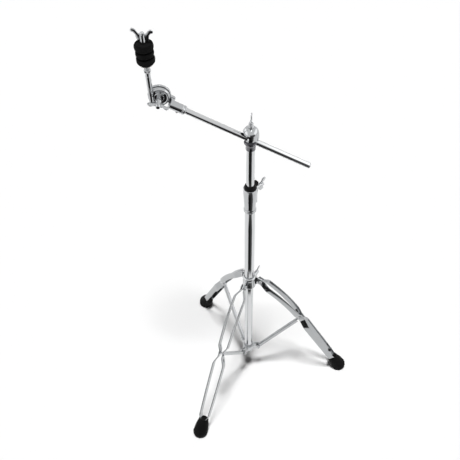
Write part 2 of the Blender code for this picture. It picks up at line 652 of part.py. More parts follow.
steep = math.tan(BOOM_ELEVATION_MAX)
edge = WAY / math.cos(BOOM_ELEVATION_MAX)
far = 0.030
cup_way = [(-far, far), (-far, -WAY), (0.0, -WAY), (0.0, -edge), (far, -edge - far * steep), (far, far)]
cut(cup, plate("tilter_cup_way", cup_way, 2 * WAY, None, head, UPRIGHT))

bell_bottom = -0.0150
round_top = 0.0080
bell_outline = [(BOLT_RADIUS + GAP, BELL_TOP)]
for i in range(5):
    angle = math.radians(90.0 - 22.5 * i)
    bell_outline.append((BELL_RADIUS - round_top + round_top * math.cos(angle),
                         BELL_TOP - round_top + round_top * math.sin(angle)))
bell_bore = BELL_RADIUS - BELL_WALL
bell_outline += [(BELL_RADIUS, bell_bottom), (bell_bore, bell_bottom), (bell_bore, BELL_TOP - 0.0060),
                 (BOLT_RADIUS + GAP, BELL_TOP - 0.0060)]
bell = turned("tilter_bell", bell_outline, "chrome", head, steps=36, closed=True)
RIM_HEIGHT = 0.0170
RIM_SLOPE = 0.65
SPINE_FRONT = 0.0130
rim = [(-far, RIM_HEIGHT + far * RIM_SLOPE), (-far, -far), (far, -far), (far, RIM_HEIGHT - far * RIM_SLOPE)]
window = plate("tilter_bell_window", rim, far + SPINE_FRONT, None, head,
               Matrix.Translation((0, (SPINE_FRONT - far) / 2, 0)) @ UPRIGHT)
cut(bell, window)
cut(bell, box("tilter_bell_way", (0.004, -WAY, -far), (far, WAY, WAY + 0.0004), None, head))

saddle = box("tilter_saddle", (-0.0050, -0.0150, 0.0030), (0.0050, 0.0150, 0.0215), "nylon", head)
cut(saddle, box("tilter_saddle_way", (-0.01, -WAY, -0.01), (0.01, WAY, 0.0178), None, head))
cut(saddle, ball("tilter_saddle_seat", (0, 0, 0), SEAT_RADIUS, None, head, 28))

head_wing = anchor("tilter_wing_axis", (0, 0, BELL_TOP + GAP), None, head)
wing_piece("tilter_wing_bolt", head_wing, Matrix.Rotation(DOME_WING_TURN, 4, "Z"), DOME_WING,
           shank=BELL_TOP - 0.0215)

for side, label in ((-1, "left"), (1, "right")):
    spread = math.radians(90.0 - side * 24.0)
    outward = Vector((math.cos(spread), math.sin(spread), 0.0))
    level = Vector((0.0, 0.0, -0.0065))
    start, under, top = 0.0152, BELL_RADIUS + GAP, BELL_RADIUS + 0.0022
    screw = pin(f"tilter_screw_{label}", outward * under + level, outward * top + level, 0.0034, "steel", head, 16)
    shank = pin(f"tilter_screw_{label}_shank", outward * start + level, outward * (top - 0.0005) + level, 0.0016,
                None, head, 12)
    join(screw, shank)
    for item in (bell, cup):
        clear = pin(f"{item.name}_screw_hole_{label}", outward * (start - 0.0003) + level,
                    outward * 0.03 + level, 0.0016 + GAP, None, head, 12)
        cut(item, clear)

# ---------------------------------------------------------------- boom
boom = anchor("boom_tilt", (0, 0, 0), Matrix.Rotation(BOOM_ELEVATION, 4, "Y"), head)
ALONG = Matrix.Rotation(math.radians(90.0), 4, "Y")
split_ball = ball("tilter_ball", (0, 0, 0), BALL_RADIUS, "chrome", boom, 28)
cut(split_ball, pin("tilter_ball_bore", (-0.03, 0, 0), (0.03, 0, 0), BOOM_RADIUS + GAP, None, boom, 24))
cut(split_ball, box("tilter_ball_slit", (-0.03, 0, -0.0006), (0.03, 0.03, 0.0006), None, boom))

slide = anchor("boom_slide", (0, 0, 0), None, boom)
boom_start = -BOOM_FREE - SOCKET_DEPTH + GAP
turned("boom_tube", tube_outline(BOOM_RADIUS, BOOM_RADIUS - BOOM_WALL, boom_start, BOOM_TAIL),
       "chrome", slide, closed=True, turn=ALONG)
turned("boom_end_plug", [
    (0.0, BOOM_TAIL + 0.0030), (BOOM_RADIUS - 0.0012, BOOM_TAIL + 0.0030), (BOOM_RADIUS, BOOM_TAIL + 0.0018),
    (BOOM_RADIUS, BOOM_TAIL + GAP), (BOOM_RADIUS - BOOM_WALL - GAP, BOOM_TAIL + GAP),
    (BOOM_RADIUS - BOOM_WALL - GAP, BOOM_TAIL - 0.010), (0.0, BOOM_TAIL - 0.010)], "chrome", slide, steps=24,
    turn=ALONG)

roll = anchor("boom_roll", (-TILTER_DISTANCE, 0, 0), None, slide)
disc_near = WASHER_THICKNESS / 2 + GAP
socket_near = TILTER_DISTANCE - BOOM_FREE
socket_far = socket_near - SOCKET_LENGTH
barrel = turned("boom_socket", [
    (0.0, socket_near), (SOCKET_RADIUS - 0.002, socket_near), (SOCKET_RADIUS, socket_near - 0.002),
    (SOCKET_RADIUS, socket_far), (0.0, socket_far)], "chrome", roll, turn=ALONG)
screw_place = socket_near - SOCKET_SCREW_INSET
cut(barrel, pin("socket_screw_hole", (screw_place, 0, -0.004), (screw_place, 0, -0.03),
                SOCKET_SCREW_SHANK + GAP, None, roll, 12))
centre = anchor("tilter_centre", (0, TILTER_BEHIND, 0), None, roll)
disc = turned("boom_socket_disc", rod_outline(DISC_RADIUS, -disc_near - DISC_THICKNESS, -disc_near), None,
              centre, steps=40, turn=UPRIGHT)
neck_half = SOCKET_RADIUS - 0.001
disc_back = disc_near + DISC_THICKNESS
neck = box("boom_socket_neck", (socket_far - 0.016, disc_near + GAP, -neck_half),
           (socket_far + 0.012, disc_back - GAP, neck_half), None, centre)
crank = box("boom_socket_crank", (socket_far + GAP, -TILTER_BEHIND + 0.004, -neck_half + 0.002),
            (socket_far + 0.0115, disc_back - 2 * GAP, neck_half - 0.002), None, centre)
join(barrel, crank)
join(barrel, neck)
join(barrel, disc)
cut(barrel, pin("boom_socket_bore", (socket_near + 0.01, 0, 0), (socket_near - SOCKET_DEPTH, 0, 0),
                BOOM_RADIUS + GAP, None, roll, 24))
tilter_hole = pin("boom_socket_hole", (0, -0.03, 0), (0, 0.03, 0), TILTER_BOLT_RADIUS + GAP, None, centre)
cut(barrel, tilter_hole)
screw_top = -BOOM_RADIUS - 2 * GAP
lock_screw = pin("socket_screw", (screw_place, 0, -SOCKET_RADIUS - GAP), (screw_place, 0, -SOCKET_RADIUS - 0.0035),
                 0.0036, "steel", roll, 16)
join(lock_screw, pin("socket_screw_shank", (screw_place, 0, screw_top), (screw_place, 0, -SOCKET_RADIUS - 0.002),
                     SOCKET_SCREW_SHANK, None, roll, 12))

# ---------------------------------------------------------------- cymbal tilter
tip_turn = Matrix.Rotation(-BOOM_ELEVATION - ROD_LEAN, 4, "Y")
swing = anchor("cymbal_tilt", (0, 0, 0), tip_turn, centre)
nut_seat = disc_back + TILTER_BEHIND
bracket = turned("rod_bracket", [
    (0.0, nut_seat), (TILTER_BOSS_RADIUS, nut_seat), (TILTER_BOSS_RADIUS, disc_back),
    (HEAD_DISC_RADIUS, disc_back), (HEAD_DISC_RADIUS, disc_near), (0.0, disc_near)], "chrome", swing, steps=40,
    turn=UPRIGHT)
ROD_SIDE = -(disc_near + ROD_SOCKET_RADIUS + GAP)
post = turned("rod_post", [
    (0.0, ROD_SOCKET_TOP), (ROD_SOCKET_RADIUS - 0.001, ROD_SOCKET_TOP), (ROD_SOCKET_RADIUS, ROD_SOCKET_TOP - 0.001),
    (ROD_SOCKET_RADIUS, -0.0110), (ROD_SOCKET_RADIUS - 0.002, -0.0130), (0.0, -0.0130)], None, swing,
    turn=Matrix.Translation((-ROD_OFFSET, ROD_SIDE, 0.0)))
join(bracket, post)
ROD_BOTTOM = ROD_SOCKET_TOP - 0.0260
rod_bore = pin("rod_bore", (-ROD_OFFSET, ROD_SIDE, ROD_BOTTOM - GAP), (-ROD_OFFSET, ROD_SIDE, 0.12),
               ROD_RADIUS + GAP, None, swing)
cut(bracket, rod_bore)
bracket_hole = pin("rod_bracket_hole", (0, -0.03, 0), (0, 0.03, 0), TILTER_BOLT_RADIUS + GAP, None, swing)
cut(bracket, bracket_hole)
turned("tilter_washer", tube_outline(WASHER_RADIUS, TILTER_BOLT_RADIUS + GAP, -WASHER_THICKNESS / 2,
                                     WASHER_THICKNESS / 2), "nylon", centre, closed=True, turn=UPRIGHT)

bolt_tip = nut_seat + TILTER_BOLT_PROUD
turned("tilter_bolt", [
    (0.0, bolt_tip), (TILTER_BOLT_RADIUS - 0.0005, bolt_tip), (TILTER_BOLT_RADIUS, bolt_tip - 0.0005),
    (TILTER_BOLT_RADIUS, -disc_back - GAP), (0.0100, -disc_back - GAP), (0.0100, -disc_back - 0.0020),
    (0.0060, -disc_back - 0.0048), (0.0, -disc_back - 0.0056)], "chrome", centre, steps=20, turn=UPRIGHT)
nut_axis = anchor("tilter_nut_axis", (0, -nut_seat - GAP, 0), None, centre)
wing_piece("tilter_wing_nut", nut_axis, Matrix.Rotation(TILTER_WING_TURN - BOOM_ELEVATION, 4, "Y") @ UPRIGHT,
           TILTER_WING, bore=TILTER_BOLT_RADIUS + GAP)

# ---------------------------------------------------------------- cymbal rod, felts and wing nut
rod_axis = anchor("cymbal_rod_axis", (-ROD_OFFSET, ROD_SIDE, 0.0), None, swing)
SHOULDER_TOP = FELT_BOTTOM - SHOULDER_BELOW_FELTS
turned("cymbal_rod", [
    (0.0, ROD_TOP), (ROD_RADIUS - 0.0008, ROD_TOP), (ROD_RADIUS, ROD_TOP - 0.0008), (ROD_RADIUS, SHOULDER_TOP),
    (0.0062, SHOULDER_TOP), (0.0062, SHOULDER_TOP - 0.005), (ROD_RADIUS, SHOULDER_TOP - 0.0062),
    (ROD_RADIUS, ROD_BOTTOM), (0.0, ROD_BOTTOM)], "chrome", rod_axis, steps=16)
lock_bottom = ROD_SOCKET_TOP + GAP
lock_top = lock_bottom + LOCK_TALL
turned("rod_lock_collar", [
    (LOCK_RADIUS - 0.0008, lock_top), (LOCK_RADIUS, lock_top - 0.0008), (LOCK_RADIUS, lock_bottom + 0.0008),
    (LOCK_RADIUS - 0.0008, lock_bottom), (ROD_RADIUS + GAP, lock_bottom), (ROD_RADIUS + GAP, lock_top)],
    "chrome", rod_axis, steps=16, closed=True)
seat_bottom = SHOULDER_TOP + GAP
seat_top = seat_bottom + SEAT_WASHER_TALL
turned("felt_seat", [
    (SEAT_WASHER_RADIUS - 0.0010, seat_top), (SEAT_WASHER_RADIUS, seat_top - 0.0008),
    (SEAT_WASHER_RADIUS, seat_bottom), (ROD_RADIUS + GAP, seat_bottom), (ROD_RADIUS + GAP, seat_top)], "steel",
    rod_axis, closed=True)
sleeve_bottom = seat_top + GAP
stack_top = FELT_BOTTOM + sum(size[2] for size in FELT_SIZES) + GAP * len(FELT_SIZES)
turned("rod_sleeve", [
    (SLEEVE_RADIUS, stack_top - 0.0010), (SLEEVE_RADIUS, sleeve_bottom + 0.0020), (0.0110, sleeve_bottom + 0.0018),
    (0.0110, sleeve_bottom), (ROD_RADIUS + GAP, sleeve_bottom), (ROD_RADIUS + GAP, stack_top - 0.0010)], "nylon",
    rod_axis, steps=16, closed=True)
level = FELT_BOTTOM
for name, radius, thickness in FELT_SIZES:
    bore = SLEEVE_RADIUS + GAP
    turned(name, [
        (radius - 0.0030, level + thickness), (radius - 0.0008, level + thickness - 0.0022),
        (radius, level + thickness * 0.55), (radius - 0.0006, level + 0.0022), (radius - 0.0030, level),
        (bore, level), (bore, level + thickness)], "felt", rod_axis, closed=True)
    level += thickness + GAP
top_axis = anchor("top_nut_axis", (0, 0, level), None, rod_axis)
wing_piece("top_wing_nut", top_axis, Matrix.Rotation(TOP_WING_TURN, 4, "Z"), TOP_WING, bore=ROD_RADIUS + GAP)


def centre_footprint():
    """Shift the stand so that the origin is under the middle of its outline, on the floor."""
    bpy.context.view_layer.update()
    graph = bpy.context.evaluated_depsgraph_get()
    low, high = Vector((9, 9, 9)), Vector((-9, -9, -9))
    for item in PARTS.objects:
        if item.type != "MESH":
            continue
        solid = item.evaluated_get(graph)
        for vertex in solid.data.vertices:
            point = solid.matrix_world @ vertex.co
            low = Vector(map(min, low, point))
            high = Vector(map(max, high, point))
    stand.location = (-(low.x + high.x) / 2, -(low.y + high.y) / 2, -low.z)


centre_footprint()
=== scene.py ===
"""Looks of the boom cymbal stand: chromed tubes, castings and straps, black nylon, rubber and felt.

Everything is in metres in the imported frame: +Z up, the mast upright, the boom in the XZ plane with its
cymbal end towards -X, and the stand's front towards -Y.
"""
import json
import math

import bmesh
import bpy
import numpy as np
from mathutils import Matrix, Vector


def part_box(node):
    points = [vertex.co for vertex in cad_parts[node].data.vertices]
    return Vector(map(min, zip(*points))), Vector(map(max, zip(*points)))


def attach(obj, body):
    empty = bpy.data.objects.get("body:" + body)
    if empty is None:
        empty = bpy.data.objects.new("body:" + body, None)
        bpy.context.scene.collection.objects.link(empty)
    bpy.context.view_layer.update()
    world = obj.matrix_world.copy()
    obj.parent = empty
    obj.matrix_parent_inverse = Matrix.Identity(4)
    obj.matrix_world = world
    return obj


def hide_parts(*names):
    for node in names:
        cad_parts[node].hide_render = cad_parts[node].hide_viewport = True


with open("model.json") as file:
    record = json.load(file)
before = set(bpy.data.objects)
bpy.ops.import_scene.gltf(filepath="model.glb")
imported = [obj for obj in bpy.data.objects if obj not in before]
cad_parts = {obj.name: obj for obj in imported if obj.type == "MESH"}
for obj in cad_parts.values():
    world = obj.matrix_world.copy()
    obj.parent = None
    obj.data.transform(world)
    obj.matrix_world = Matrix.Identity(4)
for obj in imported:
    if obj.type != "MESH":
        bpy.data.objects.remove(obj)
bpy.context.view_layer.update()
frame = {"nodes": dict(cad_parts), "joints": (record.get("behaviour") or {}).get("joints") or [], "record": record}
JOINTS = {joint["name"]: joint for joint in frame["joints"]}
BODY_OF = {node: body for body, nodes in frame["record"]["behaviour"]["bodies"].items() for node in nodes}
SCENE = bpy.context.scene

# ---------------------------------------------------------------- studio
# A pale floor under one high, soft key light, seen from above the front of the stand. A dome and a black
# floor cloth that only mirror reflections see surround it, so that the chrome has something to show.
tube_low, tube_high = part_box("base_tube")
MAST = Vector(((tube_low.x + tube_high.x) / 2, (tube_low.y + tube_high.y) / 2, 0.0))
CAMERA_TURN = math.radians(1.45)
CAMERA_ELEVATION = math.radians(47.0)
CAMERA_ROLL = math.radians(-0.72)
CAMERA_DISTANCE = 2.512
CAMERA_AIM = Vector((-0.0557, 0.0, 0.6648))
CAMERA_LENS = 69.68
FLOOR_HALF = 15.0
KEY_POWER = 3.5
KEY_SOFTNESS = math.radians(11.0)
KEY_TILT = math.radians(10.0)
AMBIENT = 0.06
DOME_RADIUS = 6.0

turn = Matrix.Rotation(CAMERA_TURN, 3, "Z")
view_back = turn @ Vector((0.0, -math.cos(CAMERA_ELEVATION), math.sin(CAMERA_ELEVATION)))
camera_data = bpy.data.cameras.new("camera")
camera_data.lens = CAMERA_LENS
camera_data.clip_end = 100.0
camera = bpy.data.objects.new("camera", camera_data)
SCENE.collection.objects.link(camera)
camera.rotation_mode = "QUATERNION"
camera.location = MAST + turn @ CAMERA_AIM + view_back * CAMERA_DISTANCE
roll = Matrix.Rotation(CAMERA_ROLL, 3, "Z").to_quaternion()
camera.rotation_quaternion = (-view_back).to_track_quat("-Z", "Y") @ roll
SCENE.camera = camera
SCENE.view_settings.view_transform = "Standard"

key_data = bpy.data.lights.new("key", "SUN")
key_data.energy = KEY_POWER
key_data.angle = KEY_SOFTNESS
key = bpy.data.objects.new("key", key_data)
key.rotation_euler = (KEY_TILT, 0.0, 0.0)
key.location = (0.0, 0.0, 3.0)
SCENE.collection.objects.link(key)


def add_node(tree, kind, links=(), **settings):
    """A node with its settings, and its inputs either linked to sockets or set to values."""
    node = tree.nodes.new(kind)
    for key, value in settings.items():
        setattr(node, key, value)
    for label, source in dict(links).items():
        if isinstance(source, bpy.types.NodeSocket):
            tree.links.new(source, node.inputs[label])
        else:
            node.inputs[label].default_value = source
    return node


def sums(tree, operation, first, second=0.0):
    """One Math node on two values or sockets."""
    return add_node(tree, "ShaderNodeMath", {0: first, 1: second}, operation=operation).outputs["Value"]


def spread(tree, value, low, high, out_low, out_high, kind="LINEAR"):
    """A value between low and high becomes one between out_low and out_high, and stays inside them."""
    return add_node(tree, "ShaderNodeMapRange", {"Value": value, "From Min": low, "From Max": high,
                                                 "To Min": out_low, "To Max": out_high},
                    interpolation_type=kind).outputs["Result"]


def product(tree, *values):
    """Several values multiplied together."""
    result = values[0]
    for value in values[1:]:
        result = sums(tree, "MULTIPLY", result, value)
    return result


world = bpy.data.worlds.new("studio")
world.use_nodes = True
backdrop = world.node_tree.nodes["Background"]
seen = add_node(world.node_tree, "ShaderNodeLightPath").outputs["Is Camera Ray"]
world.node_tree.links.new(spread(world.node_tree, seen, 0.0, 1.0, AMBIENT, 1.0), backdrop.inputs["Strength"])
backdrop.inputs["Color"].default_value = (1.0, 1.0, 1.0, 1.0)
SCENE.world = world


def stage_piece(name, points, faces, material):
    """A mesh that belongs to the studio and not to the stand."""
    mesh = bpy.data.meshes.new(name)
    mesh.from_pydata(points, [], faces)
    mesh.materials.append(material)
    piece = bpy.data.objects.new(name, mesh)
    SCENE.collection.objects.link(piece)
    return piece


def only_mirrored(piece):
    """Leaves a studio piece to mirror reflections, so that it marks the chrome and nothing else."""
    piece.visible_camera = False
    piece.visible_diffuse = False
    piece.visible_shadow = False


def floor_square(name, half, height, material):
    """A level square about the mast's foot."""
    points = [(MAST.x + x * half, y * half, height) for x, y in ((-1, -1), (1, -1), (1, 1), (-1, 1))]
    return stage_piece(name, points, [(0, 1, 2, 3)], material)


paper = bpy.data.materials.new("pale_paper")
paper.use_nodes = True
paper_shader = paper.node_tree.nodes["Principled BSDF"]
paper_shader.inputs["Base Color"].default_value = (0.86, 0.86, 0.86, 1.0)
paper_shader.inputs["Roughness"].default_value = 0.9
paper_shader.inputs["Specular IOR Level"].default_value = 0.1
floor_square("studio_floor", FLOOR_HALF, -0.0005, paper)

# the cloth lies in front of the stand: black from 0.35 m out, a softer grey from 0.8 m, and black again and
# wider beyond 1 m, where the highest castings mirror it
cloth = bpy.data.materials.new("black_floor_cloth")
cloth.use_nodes = True
tree = cloth.node_tree
tree.nodes.remove(tree.nodes["Principled BSDF"])
place = add_node(tree, "ShaderNodeTexCoord").outputs["Object"]
apart = add_node(tree, "ShaderNodeSeparateXYZ", {0: place})
right = sums(tree, "SUBTRACT", apart.outputs["X"], MAST.x)
front = sums(tree, "MULTIPLY", apart.outputs["Y"], -1.0)
away = sums(tree, "SQRT", sums(tree, "ADD", product(tree, right, right), product(tree, front, front)))
bearing = sums(tree, "ARCTAN2", right, front)
far = spread(tree, away, 0.70, 0.86, 0.0, 1.0)
beyond = spread(tree, away, 0.93, 1.04, 0.0, 1.0)
left_edge = sums(tree, "ADD", sums(tree, "ADD", bearing, 0.62), sums(tree, "MULTIPLY", far, -0.05))
left_edge = sums(tree, "ADD", left_edge, sums(tree, "MULTIPLY", beyond, 0.45))
right_edge = sums(tree, "SUBTRACT", sums(tree, "SUBTRACT", 0.98, bearing), sums(tree, "MULTIPLY", far, 0.15))
softness = sums(tree, "ADD", 0.10, sums(tree, "MULTIPLY", far, 0.25))
cover = product(tree, spread(tree, sums(tree, "DIVIDE", left_edge, softness), 0.0, 1.0, 0.0, 1.0, "SMOOTHSTEP"),
                spread(tree, sums(tree, "DIVIDE", right_edge, softness), 0.0, 1.0, 0.0, 1.0, "SMOOTHSTEP"),
                spread(tree, away, 0.33, 0.38, 0.0, 1.0, "SMOOTHSTEP"))
tone = sums(tree, "MAXIMUM", spread(tree, bearing, 0.10, 0.90, 0.015, 0.16),
            product(tree, far, spread(tree, beyond, 0.0, 1.0, 0.09, 0.015)))
dark = add_node(tree, "ShaderNodeEmission", {"Strength": tone})
clear = add_node(tree, "ShaderNodeBsdfTransparent")
mixed = add_node(tree, "ShaderNodeMixShader", {0: cover, 1: clear.outputs[0], 2: dark.outputs[0]})
tree.links.new(mixed.outputs[0], tree.nodes["Material Output"].inputs["Surface"])
only_mirrored(floor_square("floor_cloth", DOME_RADIUS, 0.004, cloth))

# the dome is pale, with brighter windows at both sides and a dark band in front, low and to the right
tent = bpy.data.materials.new("studio_dome")
tent.use_nodes = True
tree = tent.node_tree
tree.nodes.remove(tree.nodes["Principled BSDF"])
place = add_node(tree, "ShaderNodeTexCoord").outputs["Object"]
towards = add_node(tree, "ShaderNodeVectorMath", {0: place}, operation="NORMALIZE").outputs["Vector"]
apart = add_node(tree, "ShaderNodeSeparateXYZ", {0: towards})
right, front, up = apart.outputs["X"], sums(tree, "MULTIPLY", apart.outputs["Y"], -1.0), apart.outputs["Z"]
band = product(tree, spread(tree, front, 0.45, 0.62, 0.0, 1.0, "SMOOTHSTEP"),
               spread(tree, right, -0.30, -0.05, 0.0, 1.0, "SMOOTHSTEP"),
               spread(tree, up, 0.42, 0.34, 0.0, 1.0, "SMOOTHSTEP"))
window = product(tree, spread(tree, sums(tree, "ABSOLUTE", right), 0.55, 0.75, 0.0, 1.0, "SMOOTHSTEP"),
                 spread(tree, up, 0.15, 0.30, 0.0, 1.0, "SMOOTHSTEP"), spread(tree, up, 0.80, 0.65, 0.0, 1.0,
                                                                             "SMOOTHSTEP"))
light = sums(tree, "ADD", 0.90, sums(tree, "MULTIPLY", window, 0.8))
tone = product(tree, light, sums(tree, "SUBTRACT", 1.0, sums(tree, "MULTIPLY", band, 0.9)))
glow = add_node(tree, "ShaderNodeEmission", {"Strength": tone})
tree.links.new(glow.outputs[0], tree.nodes["Material Output"].inputs["Surface"])
DOME_RINGS, DOME_STEPS = 24, 72
rise, round_angle = np.meshgrid(np.linspace(0.0, math.pi / 2, DOME_RINGS),
                                np.linspace(0, 2 * math.pi, DOME_STEPS), indexing="ij")
shell = DOME_RADIUS * np.stack([np.cos(rise) * np.cos(round_angle), np.cos(rise) * np.sin(round_angle),
                                np.sin(rise)], axis=-1)
cell = np.arange((DOME_RINGS - 1) * DOME_STEPS).reshape(DOME_RINGS - 1, DOME_STEPS)[:, :-1].reshape(-1, 1)
dome = stage_piece("studio_dome", shell.reshape(-1, 3).tolist(),
                   (cell + [0, DOME_STEPS, DOME_STEPS + 1, 1]).tolist(), tent)
only_mirrored(dome)

# ---------------------------------------------------------------- tubes of the column
# Three drawn steel tubes that slide into one another, chromed outside and in, with their ends turned
# round. The base tube stands on the hub, the stem telescopes below it and the mast above it.
TUBE_LIP = 0.0005
CLEARANCE = 0.0003
ROUND_STEPS = 96


def grid_faces(rows, columns, ring=True, loop=False):
    """Quads of a grid of points: each point joins the next in its row and the same two in the next row.
    With ring the last column joins the first, and with loop the last row joins the first."""
    row = np.arange(rows if loop else rows - 1)[:, None]
    column = np.arange(columns if ring else columns - 1)[None, :]
    next_row, next_column = (row + 1) % rows, (column + 1) % columns
    corners = [row * columns + column, row * columns + next_column, next_row * columns + next_column,
               next_row * columns + column]
    return np.stack(corners, axis=-1).reshape(-1, 4).tolist()


def swept(points):
    """A closed shell from a grid of points: rows of closed sections, with a flat face over both ends."""
    rows, columns = points.shape[:2]
    last = (rows - 1) * columns
    ends = [list(range(columns))[::-1], list(range(last, last + columns))]
    return points.reshape(-1, 3), grid_faces(rows, columns) + ends


def rounded(outline, radius, count=5, closed=False):
    """Each corner becomes the curve (1-t)(1-t)A + 2t(1-t)P + ttB, where P is the corner and A and B lie
    on its two sides, one radius away or at most half a side."""
    points = np.array(outline, float)
    before, after = np.roll(points, 1, axis=0), np.roll(points, -1, axis=0)
    reach = [np.linalg.norm(near - points, axis=1, keepdims=True) for near in (before, after)]
    ends = [points + (near - points) / (length + 1e-12) * np.minimum(radius, length / 2)
            for near, length in zip((before, after), reach)]
    t = np.linspace(0.0, 1.0, count)[None, :, None]
    curve = (1 - t) ** 2 * ends[0][:, None] + 2 * t * (1 - t) * points[:, None] + t ** 2 * ends[1][:, None]
    if closed:
        return curve.reshape(-1, 2)
    return np.vstack([points[:1], curve[1:-1].reshape(-1, 2), points[-1:]])


def revolve(profile, steps=ROUND_STEPS, loop=False):
    """A profile (radius, height) carried round Z: x = r cos a, y = r sin a, z = h. Returns points, faces."""
    profile = np.array(profile, float)
    angle = np.linspace(0.0, 2 * math.pi, steps, endpoint=False)
    radius, height = profile[:, 0][:, None], profile[:, 1][:, None]
    points = np.stack([radius * np.cos(angle), radius * np.sin(angle), height + 0 * angle], axis=-1)
    return points.reshape(-1, 3), grid_faces(len(profile), steps, loop=loop)


def placed(shell, matrix):
    """The same shell turned and moved by a 4x4 matrix."""
    points, faces = shell
    matrix = np.array(matrix)
    return points @ matrix[:3, :3].T + matrix[:3, 3], faces


def together(shells):
    """Several closed shells as one list of points and one of faces."""
    counts = np.cumsum([0] + [len(points) for points, _ in shells])
    faces = [[index + start for index in face] for start, (_, each) in zip(counts, shells) for face in each]
    return np.vstack([points for points, _ in shells]), faces


def make_piece(name, shells, finish, slot, *nodes):
    """Merges poles, turns all faces outwards, and stands the piece in for its CAD nodes on their body."""
    points, faces = together(shells)
    mesh = bpy.data.meshes.new(name)
    mesh.from_pydata(points.tolist(), [], faces)
    shape = bmesh.new()
    shape.from_mesh(mesh)
    bmesh.ops.remove_doubles(shape, verts=shape.verts, dist=0.000001)
    bmesh.ops.recalc_face_normals(shape, faces=shape.faces)
    shape.to_mesh(mesh)
    shape.free()
    mesh.materials.append(finish)
    mesh.shade_smooth()
    mesh.set_sharp_from_angle(angle=math.radians(38.0))
    piece = bpy.data.objects.new(name, mesh)
    SCENE.collection.objects.link(piece)
    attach(piece, BODY_OF[nodes[0]])
    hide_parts(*nodes)
    return piece


def tube_profile(radius, wall, bottom, top):
    """A closed tube wall, up outside and down the bore, with both lips turned round."""
    return rounded([(radius, bottom), (radius, top), (radius - wall, top), (radius - wall, bottom)], TUBE_LIP,
                   closed=True)


def new_group(name, inputs, outputs):
    """An empty shader node group with named sockets, and its two end nodes."""
    group = bpy.data.node_groups.new(name, "ShaderNodeTree")
    for label, kind, value in inputs:
        socket = group.interface.new_socket(name=label, in_out="INPUT", socket_type=kind)
        socket.default_value = value
    for label, kind in outputs:
        group.interface.new_socket(name=label, in_out="OUTPUT", socket_type=kind)
    return group, group.nodes.new("NodeGroupInput"), group.nodes.new("NodeGroupOutput")


def noise(tree, vector, scale, detail=3.0, roughness=0.55, stretch=(1.0, 1.0, 1.0)):
    """Fractal noise on the piece's own coordinates, stretched by a Mapping node."""
    mapping = add_node(tree, "ShaderNodeMapping", {"Vector": vector, "Scale": stretch})
    return add_node(tree, "ShaderNodeTexNoise", {"Vector": mapping.outputs["Vector"], "Scale": scale,
                                                 "Detail": detail, "Roughness": roughness}).outputs["Fac"]


def blended(tree, share, first, second, mode="MIX"):
    """A colour mix of two colours, or of two colour sockets, by a share."""
    mix = add_node(tree, "ShaderNodeMix", data_type="RGBA", blend_type=mode)
    for place, source in ((0, share), (6, first), (7, second)):
        if isinstance(source, bpy.types.NodeSocket):
            tree.links.new(source, mix.inputs[place])
        else:
            mix.inputs[place].default_value = source
    return mix.outputs[2]


# handled chrome: hairlines left by wiping, greasy patches, and a few freckles where the plating is thin
handled, handled_in, handled_out = new_group(
    "handled_chrome",
    [("Plate", "NodeSocketColor", (0.9, 0.9, 0.9, 1.0)), ("Freckle", "NodeSocketColor", (0.3, 0.25, 0.2, 1.0)),
     ("Polish", "NodeSocketFloat", 0.05), ("Haze", "NodeSocketFloat", 0.08), ("Grain", "NodeSocketFloat", 1.0)],
    [("Color", "NodeSocketColor"), ("Roughness", "NodeSocketFloat"), ("Height", "NodeSocketFloat")])
here = add_node(handled, "ShaderNodeTexCoord").outputs["Object"]
smudge = spread(handled, noise(handled, here, 42.0, 4.0), 0.46, 0.72, 0.0, 1.0)
hairline = spread(handled, noise(handled, here, 260.0, 2.0, 0.7, (9.0, 9.0, 0.5)), 0.60, 0.74, 0.0, 1.0)
wave = noise(handled, here, 95.0, 2.0, 0.4)
speck_cells = add_node(handled, "ShaderNodeTexVoronoi", {"Vector": here, "Scale": 190.0}).outputs["Distance"]
speck = sums(handled, "MULTIPLY", spread(handled, speck_cells, 0.05, 0.10, 1.0, 0.0),
             spread(handled, noise(handled, here, 30.0), 0.60, 0.70, 0.0, 1.0))
haze = sums(handled, "MULTIPLY", sums(handled, "ADD", smudge, sums(handled, "MULTIPLY", hairline, 0.7)),
            handled_in.outputs["Haze"])
tone = blended(handled, sums(handled, "MULTIPLY", speck, 0.7), handled_in.outputs["Plate"],
               handled_in.outputs["Freckle"])
relief = sums(handled, "MULTIPLY", sums(handled, "ADD", wave, sums(handled, "MULTIPLY", hairline, -0.05)),
              handled_in.outputs["Grain"])
handled.links.new(tone, handled_out.inputs["Color"])
rough = sums(handled, "ADD", sums(handled, "ADD", handled_in.outputs["Polish"], haze),
             sums(handled, "MULTIPLY", speck, 0.3))
handled.links.new(rough, handled_out.inputs["Roughness"])
handled.links.new(relief, handled_out.inputs["Height"])


def chrome_finish(name, plate, polish, haze, grain, bump):
    """A chromed surface: a Principled metal whose colour, roughness and relief come from the shared wear."""
    material = bpy.data.materials.new(name)
    material.use_nodes = True
    tree = material.node_tree
    shader = tree.nodes["Principled BSDF"]
    shader.inputs["Metallic"].default_value = 1.0
    wear = add_node(tree, "ShaderNodeGroup", node_tree=handled)
    wear.inputs["Plate"].default_value = (*plate, 1.0)
    wear.inputs["Polish"].default_value = polish
    wear.inputs["Haze"].default_value = haze
    wear.inputs["Grain"].default_value = grain
    relief = add_node(tree, "ShaderNodeBump", {"Height": wear.outputs["Height"], "Strength": bump,
                                               "Distance": 0.0002})
    tree.links.new(wear.outputs["Color"], shader.inputs["Base Color"])
    tree.links.new(wear.outputs["Roughness"], shader.inputs["Roughness"])
    tree.links.new(relief.outputs["Normal"], shader.inputs["Normal"])
    return material


